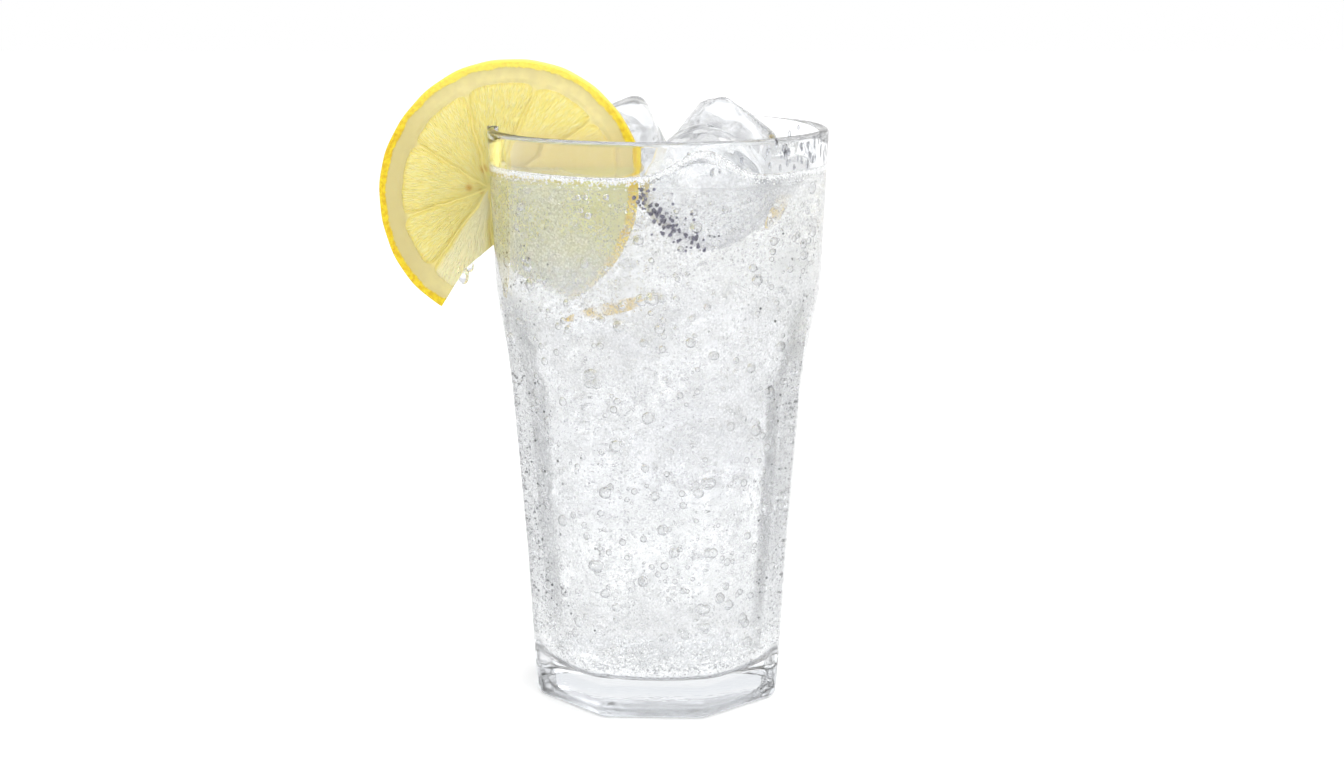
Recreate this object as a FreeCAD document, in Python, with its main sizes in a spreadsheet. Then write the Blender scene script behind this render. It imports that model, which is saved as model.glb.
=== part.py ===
"""A glass of lemonade: a tall panelled tumbler filled nearly to the brim, with a lemon slice
hung on its rim and three blocks of ice standing out of the drink.

The tumbler is turned inside and out: a round band under the rim, and eight flat panels below
it whose tops scoop out into the band. Millimetres, +Z up; the origin is the middle of the base,
on the surface that the glass stands on. The slice hangs on the -X side and faces -Y.
"""
import FreeCAD, Part

import os
import re

import Sketcher

SIZES = {
    # Tumbler, outside.
    "glass_height": 146.0,
    "rim_radius": 43.0,
    "band_height": 45.0,  # the round band, from the rim down to the tops of the panels
    "band_taper": 1.9,  # how much narrower the band is at its foot than at the rim
    "base_flats": 61.6,  # across two opposite panels, at the base
    "panel_count": 8,
    "panel_turn": -2.5,  # degrees: the panels' turn about the upright axis
    "panel_scoop": 21.0,  # height over which a panel's top curves out into the band
    "edge_ease": 0.35,  # how far the turned outside cuts the panels' corners back
    "foot_round": 1.6,
    # Tumbler, inside.
    "wall": 2.6,
    "base_thickness": 9.0,
    "floor_round": 6.0,
    "inner_shoulder_round": 30.0,
    "lip_round": 1.2,
    # Drink.
    "level_drop": 10.0,  # from the rim down to the drink's surface
    "fit_gap": 0.2,  # between the drink and whatever it touches
    # Lemon slice.
    "slice_long": 34.1,  # half of the longer width
    "slice_short": 33.1,
    "slice_lean": 52.0,  # degrees from level to the longer width
    "slice_thickness": 7.0,
    "slice_hang": 17.1,  # from the rim down to the slice's middle
    "slice_inset": 3.6,  # from the wall's middle inwards to the slice's middle
    "slit_gap": 0.3,
    "notch_left": 238.0,  # degrees round the slice to the notch's outer side
    "notch_right": 317.0,
    "notch_elbow": 22.5,  # from the slice's middle to the bend in the outer side
    "notch_drop": 11.8,  # from the slice's middle down to the notch's inner corner
    # Ice. Each block: its three sides, how far its middle lies in from the bore, where round
    # the glass it lies in degrees from +X, and how far its top stands over the drink's surface
    # before it is tilted.
    "ice_round": 4.0,
    "front_ice_wide": 25.0,
    "front_ice_deep": 22.0,
    "front_ice_tall": 24.0,
    "front_ice_from_bore": 20.2,
    "front_ice_round_to": 304.5,
    "front_ice_above": 9.1,
    "left_ice_wide": 20.0,
    "left_ice_deep": 17.0,
    "left_ice_tall": 19.0,
    "left_ice_from_bore": 17.4,
    "left_ice_round_to": 115.0,
    "left_ice_above": 13.6,
    "right_ice_wide": 22.0,
    "right_ice_deep": 19.0,
    "right_ice_tall": 19.0,
    "right_ice_from_bore": 19.2,
    "right_ice_round_to": 35.0,
    "right_ice_above": 13.4,
}

# How each block of ice is tilted: its turns about Z, Y and X, in degrees.
ICE_TURNS = {
    "front": (6.0, 43.0, 6.0),
    "left": (-5.0, -24.0, 6.0),
    "right": (12.0, 37.0, -10.0),
}

# How far the cutters reach past what they cut, as a share of its size.
CUT_PAST = 1.5

# Sizes that follow from the others.
DERIVED = {
    "band_foot": "glass_height - band_height",
    "scoop_foot": "band_foot - panel_scoop",
    "half_panel": "180 / panel_count",
    "foot_radius": "base_flats / 2 / cos(half_panel * 1 deg) - edge_ease",
    "band_foot_radius": "rim_radius - band_taper",
    "scoop_foot_radius": "foot_radius + (band_foot_radius - foot_radius) * scoop_foot / band_foot",
    "scoop_foot_flats": "(scoop_foot_radius + edge_ease) * cos(half_panel * 1 deg)",
    "band_slope": "band_taper / band_height",
    "panel_slope": "(scoop_foot_flats - base_flats / 2) / scoop_foot",
    "level": "glass_height - level_drop",
    "bore_radius": "rim_radius - level_drop * band_slope - wall",
    "slice_height": "glass_height - slice_hang",
    "slice_middle": "-(rim_radius - slice_hang * band_slope - wall / 2 - slice_inset)",
    "notch_corner_height": "slice_height - notch_drop",
    "notch_corner": "-(rim_radius - (slice_hang + notch_drop) * band_slope - wall / 2)",
}


def make_sheet(doc):
    """Put the driving sizes, and what follows from them, in the document's spreadsheet."""
    sheet = doc.addObject("Spreadsheet::Sheet", "sizes")
    cells = [(name, str(value)) for name, value in SIZES.items()]
    cells += [(name, "=" + formula) for name, formula in DERIVED.items()]
    for row, (name, content) in enumerate(cells, start=1):
        sheet.set(f"A{row}", name)
        sheet.set(f"B{row}", content)
        sheet.setAlias(f"B{row}", name)
    doc.recompute()
    return sheet


def on_sheet(formula):
    """Write a formula's size names as references to the spreadsheet."""

    def reference(word):
        name = word.group()
        return "sizes." + name if name in SIZES or name in DERIVED else name

    return re.sub(r"[a-z_]+", reference, formula)


def bind(thing, **formulas):
    """Bind each named property of a document object to a formula over the sizes."""
    for name, formula in formulas.items():
        thing.setExpression(name.replace("__", "."), on_sheet(formula))


def origin_plane(body, role):
    """The body's own origin plane or axis with this role."""
    return next(item for item in body.Origin.OriginFeatures if item.Role == role)


def add_outline(body, name, role, corners, arc=None):
    """A closed sketch through corners given as pairs of formulas.

    The side that starts at corner number `arc` is an arc tangent to the side before it and
    curved towards +X; every other side is straight.
    """
    sketch = body.newObject("Sketcher::SketchObject", name)
    sketch.AttachmentSupport = [(origin_plane(body, role), "")]
    sketch.MapMode = "FlatFace"
    places = []
    for across, up in corners:
        values = [sketch.evalExpression(on_sheet(formula)) for formula in (across, up)]
        places.append(FreeCAD.Vector(*map(float, values), 0))
    count = len(places)
    ends = []
    for index, place in enumerate(places):
        following = places[(index + 1) % count]
        if index == arc:
            middle = (place + following) / 2 - FreeCAD.Vector(0.5, 0, 0)
            sketch.addGeometry(Part.Arc(following, middle, place), False)
            ends.append((2, 1))
        else:
            sketch.addGeometry(Part.LineSegment(place, following), False)
            ends.append((1, 2))
    for index in range(count):
        after = (index + 1) % count
        joint = (index, ends[index][1], after, ends[after][0])
        kind = "Tangent" if after == arc else "Coincident"
        sketch.addConstraint(Sketcher.Constraint(kind, *joint))
    for index, (corner, place) in enumerate(zip(corners, places)):
        point = (index, ends[index][0])
        pin_point(sketch, point, "DistanceX", corner[0], place.x, -2)
        pin_point(sketch, point, "DistanceY", corner[1], place.y, -1)
    return sketch


def pin_point(sketch, point, kind, formula, value, axis):
    """Fix one coordinate of a sketch point: on the axis where it is 0, else by a formula."""
    if formula == "0":
        sketch.addConstraint(Sketcher.Constraint("PointOnObject", *point, axis))
        return
    number = sketch.addConstraint(Sketcher.Constraint(kind, -1, 1, *point, value))
    sketch.setExpression(f"Constraints[{number}]", on_sheet(formula))


def turn_outline(body, kind, sketch, name):
    """Turn a sketch full circle about the upright axis, as a Revolution or a Groove."""
    feature = body.newObject("PartDesign::" + kind, name)
    feature.Profile = sketch
    feature.ReferenceAxis = (sketch, ["V_Axis"])
    feature.Angle = 360
    body.Document.recompute()
    return feature


def round_edges(body, base, name, radius, wanted):
    """Fillet the edges of the body's latest feature that `wanted` picks."""
    edges = [f"Edge{number}" for number, edge in enumerate(base.Shape.Edges, 1) if wanted(edge)]
    feature = body.newObject("PartDesign::Fillet", name)
    feature.Base = (base, edges)
    bind(feature, Radius=radius)
    body.Document.recompute()
    return feature


def size(doc, name):
    """A size's present value."""
    return float(doc.getObject("sizes").get(name))


def ring_at(height, radius=None):
    """A test for level edges at this height, of this radius when one is given."""

    def wanted(edge):
        box = edge.BoundBox
        level = abs(box.ZMin - height) < 1e-3 and abs(box.ZMax - height) < 1e-3
        if radius is None or not level:
            return level
        return isinstance(edge.Curve, Part.Circle) and abs(edge.Curve.Radius - radius) < 1e-3

    return wanted


def bore_corners(gap, top):
    """The bore's outline from the axis out and up to `top`, shrunk by `gap`."""
    inner = f"wall - {gap}"
    return [
        ("0", f"base_thickness + {gap}"),
        (f"base_flats / 2 + base_thickness * panel_slope - {inner}", f"base_thickness + {gap}"),
        (f"scoop_foot_flats - {inner}", "scoop_foot"),
        (f"band_foot_radius - {inner}", "band_foot"),
        (f"rim_radius - ( glass_height - {top} ) * band_slope - {inner}", top),
        ("0", top),
    ]


def round_bore(doc, body, base, prefix, gap):
    """Round the bore's foot and ease its two shoulder edges."""
    inner = size(doc, "wall") + gap
    floor = size(doc, "base_thickness") + gap
    feature = round_edges(body, base, prefix + "_floor_round", f"floor_round - {gap}", ring_at(floor))
    for name, level, radius in (
        ("foot", "scoop_foot", "scoop_foot_flats"),
        ("top", "band_foot", "band_foot_radius"),
    ):
        edge = ring_at(size(doc, level), size(doc, radius) - inner)
        feature = round_edges(
            body, feature, f"{prefix}_shoulder_{name}", "inner_shoulder_round", edge
        )
    return feature


def make_tumbler(doc):
    """The glass: turned outside, eight scooped panels, turned bore, rounded lip and foot."""
    body = doc.addObject("PartDesign::Body", "tumbler")
    outside = add_outline(body, "outside", "XZ_Plane", [
        ("0", "0"),
        ("foot_radius", "0"),
        ("band_foot_radius", "band_foot"),
        ("rim_radius", "glass_height"),
        ("0", "glass_height"),
    ])
    turn_outline(body, "Revolution", outside, "turned_outside")
    clear = f"rim_radius * {CUT_PAST}"
    cutter = add_outline(body, "panel_cutter", "XZ_Plane", [
        ("base_flats / 2 - panel_slope * wall", "-wall"),
        ("scoop_foot_flats", "scoop_foot"),
        ("band_foot_radius", "band_foot"),
        (clear, "band_foot"),
        (clear, "-wall"),
    ], arc=1)
    panel = body.newObject("PartDesign::Pocket", "panel")
    panel.Profile = cutter
    panel.SideType = "Symmetric"
    bind(panel, Length=f"rim_radius * {CUT_PAST}")
    doc.recompute()
    panels = body.newObject("PartDesign::PolarPattern", "panels")
    panels.Originals = [panel]
    panels.Axis = (origin_plane(body, "Z_Axis"), [""])
    panels.Angle = 360
    bind(panels, Occurrences="panel_count")
    body.Tip = panels
    doc.recompute()
    round_edges(body, panels, "foot_edge", "foot_round", ring_at(0.0))
    bore = add_outline(body, "bore_outline", "XZ_Plane", bore_corners("0", "glass_height"))
    turn_outline(body, "Groove", bore, "bore")
    eased = round_bore(doc, body, body.Tip, "bore", 0.0)
    round_edges(body, eased, "lip", "lip_round", ring_at(size(doc, "glass_height")))
    body.Placement = FreeCAD.Placement(
        FreeCAD.Vector(), FreeCAD.Rotation(size(doc, "panel_turn"), 0, 0)
    )
    return body



def make_slice_blank(doc, name, gap):
    """The whole oval slice facing -Y, grown all round by `gap`."""
    oval = doc.addObject("Part::Ellipse", name + "_oval")
    bind(
        oval,
        MajorRadius=f"slice_long + {gap}",
        MinorRadius=f"slice_short + {gap}",
        Placement__Base__x="slice_middle",
        Placement__Base__y=f"-({gap})",
        Placement__Base__z="slice_height",
    )
    upright = FreeCAD.Rotation(FreeCAD.Vector(1, 0, 0), 90)
    lean = FreeCAD.Rotation(FreeCAD.Vector(0, 0, 1), size(doc, "slice_lean"))
    oval.Placement.Rotation = upright * lean
    blank = doc.addObject("Part::Extrusion", name)
    blank.Base = oval
    blank.DirMode = "Custom"
    blank.Dir = FreeCAD.Vector(0, 1, 0)
    blank.Solid = True
    bind(blank, LengthFwd=f"slice_thickness + 2 * {gap}")
    return blank


def make_notch(doc):
    """The missing wedge, pointing up to the wall, with a bend in its outer side."""
    body = doc.addObject("PartDesign::Body", "notch")

    def round_slice(reach, turn):
        return (
            f"slice_middle + {reach} * cos({turn} * 1 deg)",
            f"slice_height + {reach} * sin({turn} * 1 deg)",
        )

    beyond = f"slice_long * {CUT_PAST}"
    outline = add_outline(body, "notch_outline", "XZ_Plane", [
        ("notch_corner", "notch_corner_height"),
        round_slice("notch_elbow", "notch_left"),
        round_slice(beyond, "notch_left"),
        round_slice(beyond, "(notch_left + notch_right) / 2"),
        round_slice(beyond, "notch_right"),
    ])
    pad = body.newObject("PartDesign::Pad", "notch_pad")
    pad.Profile = outline
    pad.SideType = "Symmetric"
    bind(pad, Length=f"slice_thickness * 2 * {CUT_PAST}")
    return body


def make_slit(doc):
    """The wall's own shape with a gap either side, up to just above the rim."""
    cones = []
    for name, offset in (("slit_outside", "slit_gap"), ("slit_inside", "-wall - slit_gap")):
        cone = doc.addObject("Part::Cone", name)
        bind(
            cone,
            Radius1=f"band_foot_radius + {offset}",
            Radius2=f"rim_radius + slit_gap * band_slope + {offset}",
            Height="band_height + slit_gap",
            Placement__Base__z="band_foot",
        )
        cones.append(cone)
    slit = doc.addObject("Part::Cut", "slit")
    slit.Base, slit.Tool = cones
    return slit


def make_slice(doc):
    """The lemon slice: an oval with a wedge missing below and a slit that takes the wall."""
    notch = make_notch(doc)
    notched = doc.addObject("Part::Cut", "notched_slice")
    notched.Base = make_slice_blank(doc, "whole_slice", "0")
    notched.Tool = notch
    hung = doc.addObject("Part::Cut", "lemon_slice")
    hung.Base = notched
    hung.Tool = make_slit(doc)
    room = doc.addObject("Part::Cut", "slice_room")
    room.Base = make_slice_blank(doc, "whole_slice_room", "fit_gap")
    room.Tool = notch
    return hung, room


def make_ice(doc, place, suffix, gap):
    """One rounded block of ice, grown all round by `gap`, tilted as it floats."""
    body = doc.addObject("PartDesign::Body", f"ice_{place}{suffix}")
    half_wide = f"({place}_ice_wide / 2 + {gap})"
    half_deep = f"({place}_ice_deep / 2 + {gap})"
    outline = add_outline(body, f"{body.Name}_outline", "XY_Plane", [
        ("-" + half_wide, "-" + half_deep),
        (half_wide, "-" + half_deep),
        (half_wide, half_deep),
        ("-" + half_wide, half_deep),
    ])
    pad = body.newObject("PartDesign::Pad", f"{body.Name}_pad")
    pad.Profile = outline
    pad.SideType = "Symmetric"
    bind(pad, Length=f"{place}_ice_tall + 2 * {gap}")
    doc.recompute()
    round_edges(body, pad, f"{body.Name}_round", f"ice_round + {gap}", lambda edge: True)
    reach = f"(bore_radius - {place}_ice_from_bore)"
    body.Placement.Rotation = FreeCAD.Rotation(*ICE_TURNS[place])
    bind(
        body,
        Placement__Base__x=f"{reach} * cos({place}_ice_round_to * 1 deg)",
        Placement__Base__y=f"{reach} * sin({place}_ice_round_to * 1 deg)",
        Placement__Base__z=f"level + {place}_ice_above - {place}_ice_tall / 2",
    )
    return body


def make_drink(doc, rooms):
    """What fills the bore up to the level, cut round the slice and the blocks of ice."""
    body = doc.addObject("PartDesign::Body", "fill")
    outline = add_outline(body, "fill_outline", "XZ_Plane", bore_corners("fit_gap", "level"))
    turned = turn_outline(body, "Revolution", outline, "turned_fill")
    round_bore(doc, body, turned, "fill", size(doc, "fit_gap"))
    taken = doc.addObject("Part::MultiFuse", "taken")
    taken.Shapes = rooms
    drink = doc.addObject("Part::Cut", "drink")
    drink.Base = body
    drink.Tool = taken
    return drink


def check(doc, pieces):
    """Stop at a failed object, or at a piece that isn't one sound solid."""
    failed = [item.Name for item in doc.Objects if {"Invalid", "Error"} & set(item.State)]
    if failed:
        raise RuntimeError(f"failed objects: {failed}")
    for name, piece in pieces.items():
        shape = piece.Shape
        if shape.isNull() or not shape.isValid() or len(shape.Solids) != 1:
            raise RuntimeError(f"{name} isn't one valid solid")


def main():
    """Build the document and write each piece to parts/NAME.step."""
    doc = FreeCAD.newDocument("glass_of_lemonade")
    make_sheet(doc)
    lemon_slice, slice_room = make_slice(doc)
    pieces = {"tumbler": make_tumbler(doc), "lemon_slice": lemon_slice}
    rooms = [slice_room]
    for place in ICE_TURNS:
        pieces[f"ice_{place}"] = make_ice(doc, place, "", "0")
        rooms.append(make_ice(doc, place, "_room", "fit_gap"))
    pieces["drink"] = make_drink(doc, rooms)
    doc.recompute()
    check(doc, pieces)
    os.makedirs("parts", exist_ok=True)
    for name, piece in pieces.items():
        piece.Label = name
        piece.Shape.exportStep(f"parts/{name}.step")


main()
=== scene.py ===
"""The looks of a glass of lemonade: tumbler, drink, ice, bubbles and a lemon slice on the rim.

Everything is in metres in the row's own frame: +Z up, the base's middle at the origin, the
slice on the -X side with its face to -Y. Sizes below that are in millimetres say so by MM.
"""

from __future__ import annotations

import logging
import math
from dataclasses import dataclass, field
from enum import Enum

import bpy
import numpy as np
from mathutils import Matrix, Vector


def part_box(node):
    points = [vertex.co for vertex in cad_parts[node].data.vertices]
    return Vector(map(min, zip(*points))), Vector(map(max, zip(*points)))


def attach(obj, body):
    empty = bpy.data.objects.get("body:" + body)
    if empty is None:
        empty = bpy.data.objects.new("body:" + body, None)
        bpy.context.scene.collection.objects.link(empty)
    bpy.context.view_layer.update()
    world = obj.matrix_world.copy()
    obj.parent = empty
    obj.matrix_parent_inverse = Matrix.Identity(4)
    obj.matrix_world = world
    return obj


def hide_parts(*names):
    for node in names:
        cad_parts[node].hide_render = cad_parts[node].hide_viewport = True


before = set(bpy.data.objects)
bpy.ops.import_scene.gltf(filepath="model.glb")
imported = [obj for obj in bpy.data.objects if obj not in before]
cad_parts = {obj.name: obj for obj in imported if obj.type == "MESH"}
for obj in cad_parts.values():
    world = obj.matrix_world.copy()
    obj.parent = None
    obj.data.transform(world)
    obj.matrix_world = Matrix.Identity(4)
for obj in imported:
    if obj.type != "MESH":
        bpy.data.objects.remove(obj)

LOG = logging.getLogger("glass_of_lemonade")
MM = 0.001
SMOOTH_BELOW = math.radians(50.0)
CUT_SMOOTH_BELOW = math.radians(40.0)

Colour = tuple[float, float, float, float]
Span = tuple[float, float]
Piece = bpy.types.Object
Material = bpy.types.Material
Node = bpy.types.Node
Socket = bpy.types.NodeSocket


class Slot(Enum):
    """The record's slots that a piece's finish can belong to."""

    GLASS = "tumbler_glass"
    DRINK = "lemonade"
    ICE = "ice"
    LEMON = "lemon"


# The sunk blocks of ice: middles in millimetres, and turns about X, Y and Z in degrees.
SUNK_ICE = (
    ((-13.0, -9.0, 88.0), (20, 35, 15)),
    ((14.0, -4.0, 91.0), (-15, 25, 40)),
    ((-6.0, 15.0, 101.0), (30, 10, 60)),
    ((6.0, -13.0, 65.0), (35, -20, 10)),
    ((-13.0, 3.0, 60.0), (10, 45, -20)),
    ((11.0, 12.0, 66.0), (-25, 15, 30)),
)

# The three lobes of the drop of juice: their middles and half widths in millimetres.
JUICE_PLACES = np.array([[-49.8, 1.2, 107.9], [-50.7, 1.5, 109.4], [-48.1, 1.6, 110.1]])
JUICE_SIZES = np.array([[1.4, 1.4, 2.4], [1.7, 1.6, 1.8], [1.0, 1.0, 1.4]])


# ---------------------------------------------------------------- workbench


class Bench:
    """The modelling moves that every piece is made with."""

    @staticmethod
    def clear() -> None:
        """Leave edit mode and deselect everything."""
        if bpy.context.object and bpy.context.object.mode != "OBJECT":
            bpy.ops.object.mode_set(mode="OBJECT")
        bpy.ops.object.select_all(action="DESELECT")

    @staticmethod
    def pick(piece: Piece) -> None:
        """Make one object the only selected one and the active one.

        Args:
            piece: the object to pick.
        """
        Bench.clear()
        piece.select_set(True)
        bpy.context.view_layer.objects.active = piece

    @staticmethod
    def named(name: str) -> Piece:
        """Name the object that was just added.

        Args:
            name: the new object's name.

        Returns:
            The named object.
        """
        piece = bpy.context.object
        piece.name = name
        piece.data.name = name
        return piece

    @staticmethod
    def drawn(name: str, places: list[Vector]) -> Piece:
        """Draw a line of edges by extruding a point, left selected in edit mode.

        Args:
            name: the new object's name.
            places: the line's corners in order.

        Returns:
            The new object.
        """
        Bench.clear()
        bpy.ops.mesh.primitive_plane_add(size=MM)
        piece = Bench.named(name)
        bpy.ops.object.mode_set(mode="EDIT")
        bpy.ops.mesh.select_all(action="SELECT")
        bpy.ops.mesh.merge(type="CENTER")
        bpy.ops.transform.translate(value=places[0])
        for before, after in zip(places, places[1:]):
            bpy.ops.mesh.extrude_region_move(TRANSFORM_OT_translate={"value": after - before})
        bpy.ops.mesh.select_all(action="SELECT")
        return piece

    @staticmethod
    def turned(name: str, outline: list[Span], steps: int, axis: str = "Z") -> Piece:
        """Spin an outline round an axis into a closed shape.

        Args:
            name: the new object's name.
            outline: pairs of distance from the axis and place along it.
            steps: how many parts the turn has.
            axis: Z for an upright shape, Y for a disc that faces the front.

        Returns:
            The closed shape, its faces outwards.
        """
        places = [
            Vector((across, 0, along)) if axis == "Z" else Vector((across, along, 0))
            for across, along in outline
        ]
        piece = Bench.drawn(name, places)
        direction = (0, 0, 1) if axis == "Z" else (0, 1, 0)
        bpy.ops.mesh.spin(steps=steps, angle=math.tau, center=(0, 0, 0), axis=direction)
        bpy.ops.mesh.select_all(action="SELECT")
        bpy.ops.mesh.remove_doubles(threshold=0.002 * MM)
        bpy.ops.mesh.normals_make_consistent(inside=False)
        bpy.ops.object.mode_set(mode="OBJECT")
        return piece

    @staticmethod
    def ball(name: str, reach: object, placed: Matrix) -> Piece:
        """Model an oval ball.

        Args:
            name: the new object's name.
            reach: its three half lengths.
            placed: its turn and its middle.

        Returns:
            The ball, its place in its mesh.
        """
        Bench.clear()
        bpy.ops.mesh.primitive_ico_sphere_add(subdivisions=4, radius=1.0)
        piece = Bench.named(name)
        bpy.ops.object.mode_set(mode="EDIT")
        bpy.ops.mesh.select_all(action="SELECT")
        bpy.ops.transform.resize(value=reach)
        bpy.ops.object.mode_set(mode="OBJECT")
        piece.data.transform(placed)
        return piece

    @staticmethod
    def places(piece: Piece) -> np.ndarray:
        """Read a mesh's vertices.

        Args:
            piece: a mesh object at the origin.

        Returns:
            One row of x, y and z for each vertex.
        """
        flat = np.empty(len(piece.data.vertices) * 3)
        piece.data.vertices.foreach_get("co", flat)
        return flat.reshape(-1, 3)

    @staticmethod
    def set_places(piece: Piece, rows: np.ndarray) -> None:
        """Write a mesh's vertices.

        Args:
            piece: a mesh object at the origin.
            rows: one row of x, y and z for each vertex.
        """
        piece.data.vertices.foreach_set("co", rows.ravel())
        piece.data.update()

    @staticmethod
    def apply(piece: Piece, kind: str, **settings: object) -> None:
        """Add a modifier to a piece and apply it.

        Args:
            piece: the object it shapes.
            kind: the modifier's type.
            settings: the modifier's own settings.
        """
        Bench.pick(piece)
        modifier = piece.modifiers.new(kind.lower(), kind)
        for name, value in settings.items():
            setattr(modifier, name, value)
        bpy.ops.object.modifier_apply(modifier=modifier.name)

    @staticmethod
    def cut(piece: Piece, cutter: Piece) -> None:
        """Cut one closed shape out of another and use it up.

        Args:
            piece: what is cut.
            cutter: the shape taken out of it.
        """
        Bench.apply(piece, "BOOLEAN", operation="DIFFERENCE", solver="EXACT", object=cutter)
        bpy.data.objects.remove(cutter)

    @staticmethod
    def copy_node(node: str, name: str) -> Piece:
        """Copy a construction node's mesh into a new piece, its loose triangles merged.

        Args:
            node: the node's name.
            name: the new piece's name.

        Returns:
            The new piece.
        """
        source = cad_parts[node]
        piece = bpy.data.objects.new(name, source.data.copy())
        bpy.context.scene.collection.objects.link(piece)
        piece.data.materials.clear()
        Bench.pick(piece)
        bpy.ops.object.mode_set(mode="EDIT")
        bpy.ops.mesh.select_all(action="SELECT")
        bpy.ops.mesh.remove_doubles(threshold=0.001 * MM)
        bpy.ops.object.mode_set(mode="OBJECT")
        return piece

    @staticmethod
    def smooth(piece: Piece, below: float | None = None) -> None:
        """Shade a piece smooth.

        Args:
            piece: the piece.
            below: the angle between faces above which an edge stays sharp, or None for no edge.
        """
        Bench.pick(piece)
        if below is None:
            bpy.ops.object.shade_smooth()
        else:
            bpy.ops.object.shade_smooth_by_angle(angle=below)

    @staticmethod
    def dress(piece: Piece, material: Material, slot: Slot, node: str | None = None) -> None:
        """Give a piece its finish and hang it on the object.

        Args:
            piece: the finished piece.
            material: its material.
            slot: the record's slot whose finish it has.
            node: the construction node that it stands for, if it does.
        """
        piece.data.materials.clear()
        piece.data.materials.append(material)
        Bench.hang(piece, slot, node)

    @staticmethod
    def hang(piece: Piece, slot: Slot, node: str | None = None) -> None:
        """Hang a piece that has its finish on the object.

        Args:
            piece: the finished piece.
            slot: the record's slot whose finish it has; not used.
            node: the construction node that it stands for, if it does.
        """
        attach(piece, "root")
        if node:
            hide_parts(node)
        LOG.info("%s: %d faces", piece.name, len(piece.data.polygons))


# ---------------------------------------------------------------- materials


class Nodes:
    """A short way to write a node tree."""

    def __init__(self, tree: bpy.types.NodeTree) -> None:
        """Take the tree that the nodes go in."""
        self.tree = tree

    def add(self, kind: str, *feeds: object, **settings: object) -> Node:
        """Add a node.

        Args:
            kind: the node's type, without its leading "ShaderNode".
            feeds: what goes in its inputs in order: a socket, a value, or None to leave one.
            settings: the node's own settings.

        Returns:
            The new node.
        """
        made = self.tree.nodes.new("ShaderNode" + kind)
        for name, value in settings.items():
            setattr(made, name, value)
        for entry, feed in zip(made.inputs, feeds):
            self.feed(entry, feed)
        return made

    def feed(self, entry: Socket, source: object) -> None:
        """Link a socket to an input or set the input's own value.

        Args:
            entry: the input.
            source: a socket, a value, or None to leave it.
        """
        if isinstance(source, Socket):
            self.tree.links.new(source, entry)
        elif source is not None:
            entry.default_value = source

    def math(self, operation: str, *feeds: object) -> Socket:
        """Add a Math node and give its output.

        Args:
            operation: the operation's name.
            feeds: its inputs in order.

        Returns:
            The result's socket.
        """
        return self.add("Math", *feeds, operation=operation).outputs[0]

    def vector(self, operation: str, *feeds: object) -> Node:
        """Add a Vector Math node.

        Args:
            operation: the operation's name.
            feeds: its inputs in order.

        Returns:
            The new node.
        """
        return self.add("VectorMath", *feeds, operation=operation)

    def times(self, *feeds: object) -> Socket:
        """Multiply values.

        Args:
            feeds: two or more sockets or values.

        Returns:
            The product's socket.
        """
        product = feeds[0]
        for feed in feeds[1:]:
            product = self.math("MULTIPLY", product, feed)
        return product

    def place(self) -> Socket:
        """The place on the piece, in its own frame."""
        return self.add("TexCoord").outputs["Object"]

    def bump(self, shader: Node, height: object, reach: float, **more: object) -> Node:
        """Raise a finish's surface.

        Args:
            shader: the finish's shader.
            height: the socket that gives the height, 0 to 1.
            reach: the height of 1.
            more: other inputs of the node, by their names.

        Returns:
            The Bump node.
        """
        made = self.add("Bump")
        made.inputs["Distance"].default_value = reach
        self.feed(made.inputs["Height"], height)
        for name, feed in more.items():
            self.feed(made.inputs[name], feed)
        self.feed(shader.inputs["Normal"], made.outputs["Normal"])
        return made

    def step(self, value: object, low: float, high: float) -> Socket:
        """A smooth step from 0 at `low` to 1 at `high`.

        Args:
            value: the socket that is measured.
            low: where the step starts.
            high: where the step ends, lower than `low` for a falling step.

        Returns:
            The step's socket.
        """
        ramp = self.add("MapRange", value, low, high, 0.0, 1.0, interpolation_type="SMOOTHSTEP")
        return ramp.outputs[0]

    def blend(self, share: object, first: object, second: object) -> Socket:
        """Blend two colours.

        Args:
            share: how much of the second, 0 to 1.
            first: a colour or its socket.
            second: a colour or its socket.

        Returns:
            The colour's socket.
        """
        mix = self.tree.nodes.new("ShaderNodeMix")
        mix.data_type = "RGBA"
        self.feed(mix.inputs["Factor"], share)
        self.feed(mix.inputs["A"], first)
        self.feed(mix.inputs["B"], second)
        return mix.outputs["Result"]


def rgb(red: float, green: float, blue: float) -> Colour:
    """Turn a display colour of 0 to 255 into the scene's linear colour.

    Args:
        red: its red share.
        green: its green share.
        blue: its blue share.

    Returns:
        The linear colour with full alpha.
    """

    def linear(value: float) -> float:
        """One share, from display to linear."""
        share = value / 255
        return share / 12.92 if share <= 0.04045 else ((share + 0.055) / 1.055) ** 2.4

    return (linear(red), linear(green), linear(blue), 1.0)


def new_material(name: str, **settings: object) -> tuple[Material, Nodes, Node]:
    """Start a material.

    Args:
        name: its name.
        settings: plain values of its shader's inputs, each name with _ for a space.

    Returns:
        The material, its tree and its Principled shader.
    """
    material = bpy.data.materials.new(name)
    material.use_nodes = True
    shader = material.node_tree.nodes["Principled BSDF"]
    for label, value in settings.items():
        shader.inputs[label.replace("_", " ")].default_value = value
    return material, Nodes(material.node_tree), shader


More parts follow.
